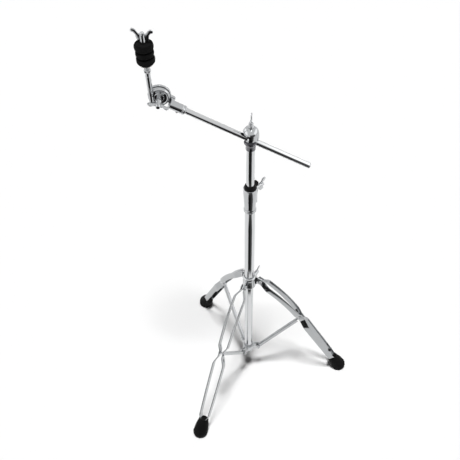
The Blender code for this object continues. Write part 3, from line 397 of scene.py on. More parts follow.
TUBE_CHROME = chrome_finish("tube_chrome", (0.63, 0.64, 0.65), 0.035, 0.05, 1.0, 0.10)
CAST_CHROME = chrome_finish("cast_chrome", (0.50, 0.51, 0.52), 0.06, 0.06, 1.6, 0.35)
# The straps' and braces' chrome gets a plate colour of 0.42 against the tubes' 0.63: painted shade that stands in
# for their dark reflections, not a duller plating.
STRAP_CHROME_PAINTED_SHADE = chrome_finish("strap_chrome_painted_shade", (0.42, 0.43, 0.44), 0.07, 0.08, 1.3, 0.25)

for node, wall in (("base_tube", 0.0011), ("stem_tube", 0.0011), ("mast_tube", 0.0014)):
    low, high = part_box(node)
    profile = tube_profile((high.x - low.x) / 2, wall, low.z, high.z)
    make_piece("drawn_" + node, [placed(revolve(profile, loop=True), Matrix.Translation(MAST))], TUBE_CHROME,
               "chrome", node)

# ---------------------------------------------------------------- hub
# A die-cast sleeve pressed on the foot of the base tube. Three lugs carry the legs' pivots, and a boss
# takes the wing bolt that locks the stem.
HUB_SLEEVE = 0.0195
HUB_LUG = 0.0060
LUG_EYE = 0.0075
hub_low, hub_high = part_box("hub_casting")
PIVOTS = [Vector(JOINTS[f"leg_{leg}_fold"]["pos_m"]) for leg in (1, 2, 3)]
pivot_reach = (PIVOTS[1] - MAST).xy.length
HUB_BORE = (tube_high.x - tube_low.x) / 2 + CLEARANCE


def slab(outline, thickness, edge, count=4):
    """A flat outline with rounded rims. Ring k is the outline moved inwards by e (1 - cos k), at the height
    t/2 - e + e sin k, and the two last rings are closed with flat faces."""
    outline = np.array(outline, float)
    ahead, behind = np.roll(outline, -1, axis=0), np.roll(outline, 1, axis=0)
    along = (ahead - behind) / np.linalg.norm(ahead - behind, axis=1, keepdims=True)
    area = np.sum(outline[:, 0] * ahead[:, 1] - outline[:, 1] * ahead[:, 0])
    inward = np.stack([-along[:, 1], along[:, 0]], axis=1) * np.sign(area)
    bend = np.linspace(math.pi / 2, 0.0, count)
    inset = edge * (1 - np.cos(np.concatenate([bend, bend[::-1]])))
    height = thickness / 2 - edge + edge * np.sin(bend)
    levels = np.concatenate([-height, height[::-1]])
    flat = outline[None] + inward[None] * inset[:, None, None]
    points = np.concatenate([flat, np.broadcast_to(levels[:, None, None], flat.shape[:2] + (1,))], axis=2)
    return swept(points)


def arc(centre, radius, start, end, count=12):
    """Points on a circle between two angles in degrees."""
    angle = np.radians(np.linspace(start, end, count))
    return np.stack([centre[0] + radius * np.cos(angle), centre[1] + radius * np.sin(angle)], axis=1)


def upright_towards(direction, origin=MAST):
    """A frame at the origin whose X points along a level direction, whose Y is up, and whose Z is across."""
    out = Vector((direction.x, direction.y, 0.0)).normalized()
    across = out.cross(Vector((0.0, 0.0, 1.0)))
    turned = Matrix((out, Vector((0.0, 0.0, 1.0)), across)).transposed().to_4x4()
    return Matrix.Translation(origin) @ turned


def pointing(origin, direction, side=Vector((0.0, 0.0, 1.0))):
    """A frame at the origin whose Z points along a direction, and whose X is as near to side as it can be."""
    axis = Vector(direction).normalized()
    across = axis.cross(Vector(side)).normalized()
    return Matrix.Translation(origin) @ Matrix((across.cross(axis), across, axis)).transposed().to_4x4()


def boss_shells(joint_name, height, inner, outer, radius):
    """A round boss that faces its wing bolt: a turned stub with a spot-faced end round the bolt's hole."""
    axis = Vector(JOINTS[joint_name]["axis"])
    hole, sunk = 0.0045, 0.0020
    stub = rounded([(0, inner), (radius * 1.12, inner), (radius, inner + 0.004), (radius, outer), (hole, outer),
                    (hole, outer - sunk), (0, outer - sunk)], 0.0010)
    return [placed(revolve(stub, 64), pointing(MAST + Vector((0, 0, height)), axis))]


hub_profile = rounded([
    (HUB_BORE - 0.0015, hub_low.z), (HUB_SLEEVE - 0.0030, hub_low.z), (HUB_SLEEVE, hub_low.z + 0.0040),
    (HUB_SLEEVE, hub_low.z + 0.0075), (HUB_SLEEVE - 0.0008, hub_low.z + 0.0085),
    (HUB_SLEEVE - 0.0008, hub_high.z - 0.0095), (HUB_SLEEVE, hub_high.z - 0.0085),
    (HUB_SLEEVE, hub_high.z - 0.0030), (HUB_SLEEVE - 0.0028, hub_high.z), (HUB_BORE, hub_high.z),
    (HUB_BORE, hub_low.z + 0.004), (HUB_BORE - 0.0015, hub_low.z + 0.0037)], 0.0012, closed=True)
hub_shells = [placed(revolve(hub_profile, loop=True), Matrix.Translation(MAST))]
pivot_height = PIVOTS[0].z
lug_outline = rounded(np.vstack([
    [(HUB_BORE + 0.002, hub_high.z - 0.005), (HUB_BORE + 0.002, hub_low.z + 0.006)],
    arc((pivot_reach, pivot_height), LUG_EYE, -84.0, 84.0),
    [(HUB_SLEEVE + 0.003, hub_high.z - 0.006)]]), 0.0025, closed=True)
for pivot in PIVOTS:
    hub_shells.append(placed(slab(lug_outline, HUB_LUG, 0.0014), upright_towards(pivot - MAST)))
hub_shells += boss_shells("hub_wing_turn", pivot_height, HUB_BORE + 0.001, 0.0320, 0.0085)
make_piece("hub_with_lugs", hub_shells, CAST_CHROME, "chrome", "hub_casting")

# ---------------------------------------------------------------- bushes and end plug
# Moulded black nylon: a flanged bush in each lug, so that a leg turns without chrome on chrome, and the
# plug pressed into the stem's lower end.
BUSH_FLANGE = 0.0068
BUSH_BARREL = 0.0042
BUSH_BORE = 0.0028


def moulded_finish(name, colour, low_rough, high_rough, grain_scale, bump):
    """Moulded plastic: a fine spark-eroded grain, faint flow marks and rubbed, shinier places."""
    material = bpy.data.materials.new(name)
    material.use_nodes = True
    tree = material.node_tree
    shader = tree.nodes["Principled BSDF"]
    place = add_node(tree, "ShaderNodeTexCoord").outputs["Object"]
    grain = noise(tree, place, grain_scale, 2.0, 0.6)
    flow = noise(tree, place, 60.0, 3.0, 0.5, (1.0, 1.0, 3.0))
    tone = blended(tree, spread(tree, flow, 0.35, 0.7, 0.0, 1.0), (*[0.75 * c for c in colour], 1.0),
                   (*[1.3 * c for c in colour], 1.0))
    tree.links.new(tone, shader.inputs["Base Color"])
    tree.links.new(spread(tree, flow, 0.35, 0.65, low_rough, high_rough), shader.inputs["Roughness"])
    relief = add_node(tree, "ShaderNodeBump", {"Height": grain, "Strength": bump, "Distance": 0.0001})
    tree.links.new(relief.outputs["Normal"], shader.inputs["Normal"])
    shader.inputs["Specular IOR Level"].default_value = 0.08
    return material


NYLON = moulded_finish("moulded_nylon", (0.005, 0.005, 0.0055), 0.42, 0.58, 2600.0, 0.35)
for leg, pivot in enumerate(PIVOTS, 1):
    half = HUB_LUG / 2 + CLEARANCE
    bush_profile = rounded([
        (BUSH_BORE, half + 0.0009), (BUSH_BORE, -half - 0.0009), (BUSH_FLANGE, -half - 0.0009),
        (BUSH_FLANGE, -half), (BUSH_BARREL, -half), (BUSH_BARREL, half), (BUSH_FLANGE, half),
        (BUSH_FLANGE, half + 0.0009)], 0.0003, closed=True)
    make_piece(f"leg_{leg}_flanged_bush", [placed(revolve(bush_profile, 48, loop=True), pointing(
        pivot, JOINTS[f"leg_{leg}_fold"]["axis"]))], NYLON, "nylon", f"leg_{leg}_bush")
cap_low, cap_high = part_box("stem_cap")
stem_low, stem_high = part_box("stem_tube")
cap_radius = (cap_high.x - cap_low.x) / 2
plug_radius = cap_radius - 0.0014
cap_profile = rounded([
    (0, cap_low.z + 0.0015), (cap_radius * 0.45, cap_low.z), (cap_radius - 0.002, cap_low.z),
    (cap_radius, cap_low.z + 0.002), (cap_radius, stem_low.z - CLEARANCE),
    (plug_radius, stem_low.z - CLEARANCE), (plug_radius, cap_high.z), (0, cap_high.z)], 0.0008)
make_piece("stem_end_plug", [placed(revolve(cap_profile, 64), Matrix.Translation(MAST))], NYLON, "nylon",
           "stem_cap")

# ---------------------------------------------------------------- height clamp
# A die-cast sleeve on top of the base tube, a tulip in outline with a bead round its foot, with a rib
# that swells into the wing bolt's boss. A conical nylon bush stands out of its top and grips the mast.
CLAMP_NECK = 0.0156
CLAMP_BEAD = 0.0174
CLAMP_RIM = 0.0190
KEY_HALF = 0.0062
KEY_REACH = 0.0080
clamp_low, clamp_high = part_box("clamp_casting")
clamp_wing = Vector(JOINTS["clamp_wing_turn"]["pos_m"])
clamp_axis = Vector(JOINTS["clamp_wing_turn"]["axis"])


def tulip(low, high, neck, rim, count=40):
    """The clamp's side from its neck up to its rim: neck + (rim - neck) times sin(90 degrees u) ^ 1.3."""
    share = np.linspace(0.0, 1.0, count)
    radius = neck + (rim - neck) * np.sin(share * math.pi / 2) ** 1.3
    return np.stack([radius, low + (high - low) * share], axis=1)


foot = clamp_low.z
clamp_profile = np.vstack([
    rounded([(HUB_BORE, foot + 0.020), (HUB_BORE, foot), (CLAMP_BEAD - 0.0018, foot),
             (CLAMP_BEAD, foot + 0.0030), (CLAMP_BEAD, foot + 0.0058),
             (CLAMP_BEAD - 0.0009, foot + 0.0068), (CLAMP_BEAD, foot + 0.0078),
             (CLAMP_BEAD, foot + 0.0110), (CLAMP_BEAD - 0.0016, foot + 0.0140), (CLAMP_NECK, foot + 0.0150),
             (CLAMP_NECK, foot + 0.0170)], 0.0012),
    tulip(foot + 0.018, clamp_high.z - 0.0045, CLAMP_NECK, CLAMP_RIM),
    rounded([(CLAMP_RIM, clamp_high.z - 0.004), (CLAMP_RIM, clamp_high.z), (HUB_BORE, clamp_high.z),
             (HUB_BORE, clamp_high.z - 0.004)], 0.0012)])
clamp_shells = [placed(revolve(clamp_profile, loop=True), Matrix.Translation(MAST))]
wing_height, wing_seat = clamp_wing.z, (clamp_wing - MAST).xy.length - CLEARANCE
clamp_shells += boss_shells("clamp_wing_turn", wing_height, HUB_BORE + 0.001, wing_seat, 0.0085)
rib = rounded([(HUB_BORE + 0.001, clamp_high.z - 0.0015), (wing_seat - 0.002, clamp_high.z - 0.0025),
               (wing_seat - 0.002, wing_height - 0.0060), (CLAMP_RIM + 0.0030, wing_height - 0.026),
               (CLAMP_NECK + 0.0006, wing_height - 0.052), (HUB_BORE + 0.0002, wing_height - 0.056)], 0.010, 8,
              closed=True)
clamp_shells.append(placed(slab(rib, 0.0120, 0.0055, 8), upright_towards(clamp_axis)))
make_piece("clamp_sleeve", clamp_shells, CAST_CHROME, "chrome", "clamp_casting")

bush_low, bush_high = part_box("clamp_bush")
mast_low, mast_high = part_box("mast_tube")
mast_radius = (mast_high.x - mast_low.x) / 2
grip = mast_radius + 0.0004
bush_radius = MAST.x - bush_low.x
base_bore = (tube_high.x - tube_low.x) / 2
grip_profile = rounded([
    (grip, bush_low.z), (base_bore, bush_low.z), (base_bore, clamp_high.z + CLEARANCE),
    (bush_radius, clamp_high.z + CLEARANCE), (bush_radius, clamp_high.z + 0.0042),
    (mast_radius + 0.0022, bush_high.z - 0.0006), (mast_radius + 0.0014, bush_high.z), (grip, bush_high.z)],
    0.0009, closed=True)
key_outline = rounded([(-KEY_HALF, grip), (KEY_HALF, grip), (KEY_HALF, bush_radius + KEY_REACH),
                       (-KEY_HALF, bush_radius + KEY_REACH)], 0.0018, closed=True)
key_height = bush_high.z - 0.0012 - clamp_high.z - CLEARANCE
key_middle = Vector((0, 0, clamp_high.z + CLEARANCE + key_height / 2))
key_frame = Matrix.Translation(MAST + key_middle) @ Matrix.Rotation(
    math.atan2(clamp_axis.y, clamp_axis.x) - math.pi / 2, 4, "Z")
make_piece("clamp_grip_bush", [placed(revolve(grip_profile, loop=True), Matrix.Translation(MAST)),
                               placed(slab(key_outline, key_height, 0.0010), key_frame)], NYLON, "nylon",
           "clamp_bush")

# ---------------------------------------------------------------- wing bolts and wing nuts
# Die-cast wings, tumbled and chromed: a stub hub with two swept blades that end in round lobes. Three
# are cast on threaded bolts, and two are nuts for the cymbal tilter and the top of the rod.
WING_HUB = 0.0062
BLADE_HALF = 0.0020
BOLT_RADIUS = 0.0040


def smooth(value):
    """3uu - 2uuu for u kept between 0 and 1."""
    value = np.clip(value, 0.0, 1.0)
    return value * value * (3 - 2 * value)


def oval_sweep(path, across, up, half_across, half_up, steps=28, power=1.0):
    """Ovals carried along a path: point = path + across a cos(t) + up b |sin(t)|^power sign(sin(t)).
    Both ends are closed with flat faces, which shrink to poles where the oval does."""
    angle = np.linspace(0.0, 2 * math.pi, steps, endpoint=False)
    bulge = np.sign(np.sin(angle)) * np.abs(np.sin(angle)) ** power
    points = (path[:, None] + across[:, None] * (half_across[:, None] * np.cos(angle))[..., None]
              + up[:, None] * (half_up[:, None] * bulge)[..., None])
    return swept(points)


def blade(side, span, hub_height, lift, lobe, count=48):
    """One wing: ovals along a line that leaves the hub level and rises to the lobe's centre. The oval's
    height eases from the hub's to a waist and out to the lobe, then closes as a circle does."""
    reach = span / 2 - lobe / 2
    share = 1 - (1 - np.linspace(0.0, 1.0, count)) ** 1.6
    x = WING_HUB * 0.3 + (span / 2 - WING_HUB * 0.3) * share
    rise = smooth((x - WING_HUB * 0.6) / (reach - WING_HUB * 0.6))
    z = hub_height * 0.48 + (hub_height + lift - lobe / 2 - hub_height * 0.48) * rise
    waist = hub_height * 0.46 + (lobe * 0.38 - hub_height * 0.46) * smooth((x - WING_HUB * 0.6) / (reach * 0.5))
    height = waist + (lobe / 2 - waist) * smooth((x - reach * 0.55) / (reach * 0.45))
    closing = np.sqrt(np.clip(1 - (np.clip(x - reach, 0, None) / (lobe / 2)) ** 2, 0, 1))
    height = height * closing
    thick = BLADE_HALF * (0.55 + 0.45 * closing) * np.minimum(1.0, height / (lobe * 0.1))
    path = np.stack([side * x, 0 * x, z], axis=1)
    slope = np.gradient(path, axis=0)
    slope /= np.linalg.norm(slope, axis=1, keepdims=True)
    across = np.stack([-slope[:, 2], 0 * x, slope[:, 0]], axis=1)
    level = np.broadcast_to(np.array([0.0, 1.0, 0.0]), path.shape)
    return oval_sweep(path, across, level, height, thick, power=0.6)


def wing_shells(span, hub_height, lift, lobe, shank=0.0, bore=0.0):
    """A turned hub with its two blades, and either a plain bolt below it or a bore through it."""
    crown = [(WING_HUB * 1.25, 0.0), (WING_HUB, hub_height * 0.35), (WING_HUB, hub_height * 0.80),
             (WING_HUB * 0.75, hub_height)]
    if bore:
        turned = revolve(rounded(crown + [(bore, hub_height), (bore, 0.0)], 0.0009, closed=True), 48, loop=True)
    else:
        turned = revolve(rounded([(0, -shank), (BOLT_RADIUS, -shank), (BOLT_RADIUS, 0.0)] + crown + [
            (0, hub_height)], 0.0009), 48)
    return [turned] + [blade(side, span, hub_height, lift, lobe) for side in (-1, 1)]


def wing_frame(joint_name, *turns):
    """The rest frame of a wing: its joint's place, then turns about the stand's axes in degrees."""
    matrix = Matrix.Translation(JOINTS[joint_name]["pos_m"])
    for degrees, axis in turns:
        matrix = matrix @ Matrix.Rotation(math.radians(degrees), 4, axis)
    return matrix


hub_azimuth = math.degrees(math.atan2(*JOINTS["hub_wing_turn"]["axis"][1::-1]))
clamp_azimuth = math.degrees(math.atan2(clamp_axis.y, clamp_axis.x))
rod_axis = Vector(JOINTS["top_nut_turn"]["axis"])
ROD_LEAN = math.degrees(math.atan2(rod_axis.x, rod_axis.z))
WINGS = (
    ("hub_wing_bolt", wing_frame("hub_wing_turn", (hub_azimuth, "Z"), (90, "Y"), (12, "Z")),
     wing_shells(0.0560, 0.0150, 0.0045, 0.0130, shank=0.0170)),
    ("clamp_wing_bolt", wing_frame("clamp_wing_turn", (clamp_azimuth, "Z"), (90, "Y"), (12, "Z")),
     wing_shells(0.0560, 0.0150, 0.0045, 0.0130, shank=0.0150)),
    ("tilter_wing_bolt", wing_frame("tilter_wing_turn", (84, "Z")),
     wing_shells(0.0420, 0.0160, 0.0165, 0.0110, shank=0.0190)),
    ("tilter_wing_nut", wing_frame("tilter_nut_turn", (17, "Y"), (90, "X")),
     wing_shells(0.0540, 0.0240, 0.0010, 0.0130, bore=BOLT_RADIUS + CLEARANCE)),
    ("top_wing_nut", wing_frame("top_nut_turn", (ROD_LEAN, "Y"), (-13, "Z")),
     wing_shells(0.0560, 0.0280, 0.0100, 0.0110, bore=BOLT_RADIUS + CLEARANCE)))
for node, matrix, shells in WINGS:
    make_piece("cast_" + node, [placed(shell, matrix) for shell in shells], CAST_CHROME, "chrome", node)

# ---------------------------------------------------------------- leg straps
# Each leg is two flat steel straps on edge, pressed together and riveted half way down and again in the
# foot, and bowed apart between, so that the leg shows two long loops. Chromed after bending.
STRAP_THICK = 0.0025
STRAP_HIGH = 0.0180
LOOP_HALF = 0.0172
HUB_HALF = 0.00575
RIVET_HALF = 0.00655
FOOT_HALF = 0.0052
LEG_BOW = math.radians(9.0)
FOOT_REACH = 0.3070
STRAP_END = 0.0220
STRAP_FLAT = 0.0090
LOOP_OPEN = 0.14
LOOP_SHUT = 0.10


def leg_line(distance, drop, run, bow, slope_below):
    """Place (outwards, up) and slope of a leg at distances from its pivot: one arc down to the rivet, whose
    slope grows evenly by twice the bow, then a straight line to the foot."""
    chord = math.hypot(drop, run)
    radius = chord / (2 * math.sin(bow))
    start = math.atan2(drop, run) - bow
    upper = 2 * bow * radius
    slope = start + np.clip(distance, 0, upper) / radius
    out = radius * (np.sin(slope) - math.sin(start)) + np.minimum(distance, 0) * math.cos(start)
    up = radius * (np.cos(slope) - math.cos(start)) - np.minimum(distance, 0) * math.sin(start)
    past = np.maximum(distance - upper, 0)
    slope = np.where(distance > upper, slope_below, slope)
    return out + past * math.cos(slope_below), up - past * math.sin(slope_below), slope, upper


def loop_offset(share, near, far):
    """Half width of a loop: both ends ease out to the full bow, quickly at the upper end, and it draws in
    by a fifth towards the lower one."""
    wide = LOOP_HALF * (1 - 0.2 * share ** 2)
    opening = smooth(share / LOOP_OPEN) ** 0.8
    closing = smooth((1 - share) / LOOP_SHUT) ** 0.8
    end = np.where(share < 0.5, near, far)
    return end + (wide - end) * np.minimum(opening, closing)


def strap_shell(side, pivot, rivet):
    """A rounded bar carried along the leg's line, set off to one side by the loop's half width."""
    drop, run = pivot.z - rivet.z, (rivet - pivot).xy.length
    lower_run = FOOT_REACH - (rivet - MAST).xy.length
    below = math.atan2(rivet.z, lower_run)
    lower = math.hypot(rivet.z, lower_run) - STRAP_END / math.sin(below)
    upper = leg_line(np.zeros(1), drop, run, LEG_BOW, below)[3]
    foot_flat = 0.026
    ease = 0.5 - 0.5 * np.cos(np.linspace(0, math.pi, 60))
    distance = np.concatenate([
        [-STRAP_FLAT, -STRAP_FLAT * 0.5], STRAP_FLAT + (upper - 2 * STRAP_FLAT) * ease,
        upper + STRAP_FLAT + (lower - foot_flat - STRAP_FLAT) * ease, [upper + lower]])
    out, up, slope, _ = leg_line(distance, drop, run, LEG_BOW, below)
    first = (distance - STRAP_FLAT) / (upper - 2 * STRAP_FLAT)
    second = (distance - upper - STRAP_FLAT) / (lower - foot_flat - STRAP_FLAT)
    offset = np.where(distance < upper, loop_offset(np.clip(first, 0, 1), HUB_HALF, RIVET_HALF),
                      loop_offset(np.clip(second, 0, 1), RIVET_HALF, FOOT_HALF))
    path = np.stack([out, up, side * offset], axis=1)
    along = np.gradient(path, axis=0)
    along /= np.linalg.norm(along, axis=1, keepdims=True)
    high = np.stack([np.sin(slope), np.cos(slope), 0 * slope], axis=1)
    across = np.cross(along, high)
    across /= np.linalg.norm(across, axis=1, keepdims=True)
    section = rounded([(-STRAP_THICK / 2, -STRAP_HIGH / 2), (STRAP_THICK / 2, -STRAP_HIGH / 2),
                       (STRAP_THICK / 2, STRAP_HIGH / 2), (-STRAP_THICK / 2, STRAP_HIGH / 2)], 0.0011, 5,
                      closed=True)
    crown = 0.00035 * (1 - (2 * section[:, 1] / STRAP_HIGH) ** 2) * np.sign(section[:, 0])
    points = (path[:, None] + across[:, None] * (section[:, 0] + crown)[None, :, None]
              + high[:, None] * section[:, 1][None, :, None])
    return placed(swept(points), upright_towards(pivot - MAST, pivot))


def centre_of(node):
    """The middle of a CAD node's box."""
    low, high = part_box(node)
    return (low + high) / 2


RIVETS = [centre_of(f"leg_{leg}_rivet") for leg in (1, 2, 3)]
for leg, (pivot, rivet) in enumerate(zip(PIVOTS, RIVETS), 1):
    for side, label in ((1, "right"), (-1, "left")):
        make_piece(f"leg_{leg}_{label}_strap", [strap_shell(side, pivot, rivet)], STRAP_CHROME_PAINTED_SHADE, "chrome",
                   f"leg_{leg}_strip_{label}")

# ---------------------------------------------------------------- pins and rivets
# Semi-tubular steel rivets, set through the straps at the hub, half way down each leg and at the brace
# collar. Each head is a low dome with the mark of the setting tool sunk in it.
PIN_SHANK = 0.0025
RIVET_SHANK = 0.0030
RIVET_HEAD = 0.0056
RIVET_HEAD_TALL = 0.0022


def rivet_shell(centre, axis, half_grip, shank):
    """A shank with a domed, dimpled head at both ends, turned about its own axis."""
    head = [(shank, half_grip), (RIVET_HEAD, half_grip), (RIVET_HEAD, half_grip + RIVET_HEAD_TALL * 0.35),
            (RIVET_HEAD * 0.78, half_grip + RIVET_HEAD_TALL), (RIVET_HEAD * 0.46, half_grip + RIVET_HEAD_TALL),
            (RIVET_HEAD * 0.36, half_grip + RIVET_HEAD_TALL * 0.25), (0, half_grip + RIVET_HEAD_TALL * 0.1)]
    outline = [(radius, -height) for radius, height in head[::-1]] + head
    return placed(revolve(rounded(outline, 0.0006, 4), 40), pointing(centre, axis))


RIVET_CHROME = chrome_finish("rivet_chrome", (0.58, 0.59, 0.60), 0.13, 0.12, 1.0, 0.3)
for leg, (pivot, rivet) in enumerate(zip(PIVOTS, RIVETS), 1):
    axis = JOINTS[f"leg_{leg}_fold"]["axis"]
    hub_grip = HUB_HALF + STRAP_THICK / 2 + CLEARANCE
    loop_grip = RIVET_HALF + STRAP_THICK / 2 + CLEARANCE
    make_piece(f"leg_{leg}_pivot_rivet", [rivet_shell(pivot, axis, hub_grip, PIN_SHANK)], RIVET_CHROME,
               "chrome", f"leg_{leg}_pivot_pin")
    make_piece(f"leg_{leg}_loop_rivet", [rivet_shell(rivet, axis, loop_grip, RIVET_SHANK)], RIVET_CHROME,
               "chrome", f"leg_{leg}_rivet")

# ---------------------------------------------------------------- feet
# Moulded rubber boots pushed over the straps' ends: a rolled cuff, a barrel with two shallow grooves, and
# a round pad that the stand's weight flattens on the floor.
FOOT_LENGTH = 0.0720
FOOT_UNDERCUT = 0.0100
CUFF_RADIUS = 0.0150
PAD_RADIUS = 0.0225
GROUND_SOFTNESS = 0.0006


def boot_profile():
    """From the pad's tip up to the cuff: a quarter ellipse, a step, a barrel that narrows as a sine, two
    grooves, and the cuff rolled into its recess."""
    tip = arc((0, 0), 1.0, -90.0, 0.0, 18) * [PAD_RADIUS, 0.024] + [0, -FOOT_LENGTH + 0.024]
    share = np.linspace(0.0, 1.0, 60)
    height = -FOOT_LENGTH + 0.0265 + (FOOT_LENGTH - 0.029) * share
    radius = CUFF_RADIUS + (PAD_RADIUS - 0.0008 - CUFF_RADIUS) * np.cos(share * math.pi / 2) ** 1.1
    for groove in (0.12, 0.30):
        radius = radius - 0.0009 * np.exp(-((share - groove) / 0.022) ** 2)
    cuff = rounded([(CUFF_RADIUS, -0.0022), (CUFF_RADIUS, 0.0), (CUFF_RADIUS - 0.0030, 0.0),
                    (CUFF_RADIUS - 0.0034, -0.0040), (0, -0.0040)], 0.0010)
    return np.vstack([tip, np.stack([radius, height], axis=1), cuff])


def rubber_finish():
    """Black rubber: a matt mould skin, scuffed grey towards the floor, with dust in its grain."""
    material = bpy.data.materials.new("foot_rubber")
    material.use_nodes = True
    tree = material.node_tree
    shader = tree.nodes["Principled BSDF"]
    place = add_node(tree, "ShaderNodeTexCoord").outputs["Object"]
    height = add_node(tree, "ShaderNodeSeparateXYZ", {0: place}).outputs["Z"]
    scuff = sums(tree, "MULTIPLY", spread(tree, height, 0.002, 0.012, 1.0, 0.0),
                 spread(tree, noise(tree, place, 240.0, 4.0), 0.40, 0.62, 0.0, 1.0))
    dust = spread(tree, noise(tree, place, 70.0, 5.0, 0.7), 0.52, 0.75, 0.0, 0.35)
    worn = sums(tree, "MAXIMUM", scuff, dust)
    tree.links.new(blended(tree, worn, (0.004, 0.004, 0.004, 1.0), (0.016, 0.0155, 0.015, 1.0)),
                   shader.inputs["Base Color"])
    tree.links.new(spread(tree, worn, 0.0, 1.0, 0.62, 0.88), shader.inputs["Roughness"])
    skin = sums(tree, "ADD", noise(tree, place, 1800.0, 2.0), sums(tree, "MULTIPLY", worn, -0.4))
    relief = add_node(tree, "ShaderNodeBump", {"Height": skin, "Strength": 0.4, "Distance": 0.0002})
    tree.links.new(relief.outputs["Normal"], shader.inputs["Normal"])
    shader.inputs["Specular IOR Level"].default_value = 0.06
    return material


RUBBER = rubber_finish()
for leg, (pivot, rivet) in enumerate(zip(PIVOTS, RIVETS), 1):
    out = (rivet - MAST).xy.normalized()
    contact = MAST + Vector((out.x * FOOT_REACH, out.y * FOOT_REACH, 0.0))
    lower_axis = (rivet - contact).normalized()
    top = contact + lower_axis * (FOOT_LENGTH - FOOT_UNDERCUT)
    points, faces = placed(revolve(boot_profile(), 72), pointing(top, lower_axis, Vector((out.x, out.y, 0))))
    settled = 4 * GROUND_SOFTNESS * np.exp(np.minimum(points[:, 2] / GROUND_SOFTNESS - 4, 0.0))
    points[:, 2] = np.where(points[:, 2] < 4 * GROUND_SOFTNESS, settled, points[:, 2])
    make_piece(f"leg_{leg}_rubber_boot", [(points, faces)], RUBBER, "rubber", f"leg_{leg}_foot")

# ---------------------------------------------------------------- brace collar and braces
# A steel collar clamped low on the stem, with three pairs of pressed ears. A U-shaped pressed brace runs
# from each pair up to the rivet of a leg, and spreads the tripod as the stem goes down.
BRACE_WIDE = 0.0100
BRACE_DEEP = 0.0092
BRACE_WALL = 0.0015
BRACE_TAIL = 0.0060
MOUTH_LENGTH = 0.0190
EAR_THICK = 0.0024
collar_low, collar_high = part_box("brace_collar")
COLLAR_RADIUS = 0.0176
stem_radius = (stem_high.x - stem_low.x) / 2
ARM_PIVOTS = [Vector(JOINTS[f"brace_{leg}_fold"]["pos_m"]) for leg in (1, 2, 3)]
arm_height = ARM_PIVOTS[0].z
arm_reach = (ARM_PIVOTS[0] - MAST).xy.length
collar_profile = rounded([
    (COLLAR_RADIUS, collar_low.z), (COLLAR_RADIUS, collar_high.z), (stem_radius + CLEARANCE, collar_high.z),
    (stem_radius + CLEARANCE, collar_low.z)], 0.0012, closed=True)
collar_shells = [placed(revolve(collar_profile, loop=True), Matrix.Translation(MAST))]
ear_outline = rounded(np.vstack([
    [(stem_radius + 0.002, arm_height + 0.0070), (stem_radius + 0.002, arm_height - 0.0070)],
    arc((arm_reach - 0.0005, arm_height), 0.0069, -90.0, 90.0)]), 0.001, closed=True)
for pivot in ARM_PIVOTS:
    for side in (-1, 1):
        offset = Matrix.Translation((0, 0, side * (BRACE_WIDE / 2 + CLEARANCE + EAR_THICK / 2)))
        collar_shells.append(placed(slab(ear_outline, EAR_THICK, 0.0005, 3),
                                    upright_towards(pivot - MAST) @ offset))
make_piece("eared_brace_collar", collar_shells, CAST_CHROME, "chrome", "brace_collar")
for leg, pivot in enumerate(ARM_PIVOTS, 1):
    ear_grip = BRACE_WIDE / 2 + CLEARANCE + EAR_THICK + CLEARANCE
    make_piece(f"collar_rivet_{leg}", [rivet_shell(pivot, JOINTS[f"brace_{leg}_fold"]["axis"], ear_grip,
                                                   PIN_SHANK)], RIVET_CHROME, "chrome", f"collar_bolt_{leg}")


def brace_shell(pivot, rivet):
    """A U-shaped section carried along a straight line. Its two walls are cut back to a strip over the
    rivet, where the brace's mouth is open."""
    length = (rivet - pivot).length
    lengthwise = np.concatenate([[-BRACE_TAIL], np.linspace(-BRACE_TAIL + 0.0004, length - MOUTH_LENGTH, 12),
                                 np.linspace(length - MOUTH_LENGTH + 0.001, length + BRACE_TAIL, 6)])
    foot = np.where(lengthwise > length - MOUTH_LENGTH + 0.0005, 0.0032, -BRACE_DEEP / 2)
    wide, top, wall = BRACE_WIDE / 2, BRACE_DEEP / 2, BRACE_WALL
    bend = rounded([(-wide, 0.0), (-wide, top), (wide, top), (wide, 0.0)], 0.0016, 6)[1:-1]
    hollow = rounded([(wide - wall, 0.0), (wide - wall, top - wall), (wall - wide, top - wall),
                      (wall - wide, 0.0)], 0.0006, 4)[1:-1]
    section = np.vstack([[(-wide, -9)], bend, [(wide, -9), (wide - wall, -9)], hollow, [(wall - wide, -9)]])
    rise = np.where(section[None, :, 1] < -1, foot[:, None], section[None, :, 1])
    points = np.stack([np.broadcast_to(lengthwise[:, None], rise.shape),
                       np.broadcast_to(section[None, :, 0], rise.shape), rise], axis=-1)
    along = (rivet - pivot).normalized()
    across = Vector((0, 0, 1)).cross(along).normalized()
    turned = Matrix((along, across, along.cross(across))).transposed().to_4x4()
    return placed(swept(points), Matrix.Translation(pivot) @ turned)


for leg, (pivot, rivet) in enumerate(zip(ARM_PIVOTS, RIVETS), 1):
    make_piece(f"brace_{leg}_channel", [brace_shell(pivot, rivet)], STRAP_CHROME_PAINTED_SHADE, "chrome", f"brace_{leg}")

# ---------------------------------------------------------------- boom tilter
# A cast cup on the mast holds a split ball, with the boom through it. A bell-shaped dome, open at its two
# ends for the boom and joined to the cup by its spine, is pressed down on the ball by a wing bolt.
BELL_RADIUS = 0.0220
BELL_WALL = 0.0040
BELL_SHOULDER = 0.0220
BELL_INNER_SHOULDER = 0.0105
BALL = Vector(JOINTS["boom_tilt"]["pos_m"])
bell_low, bell_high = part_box("tilter_bell")


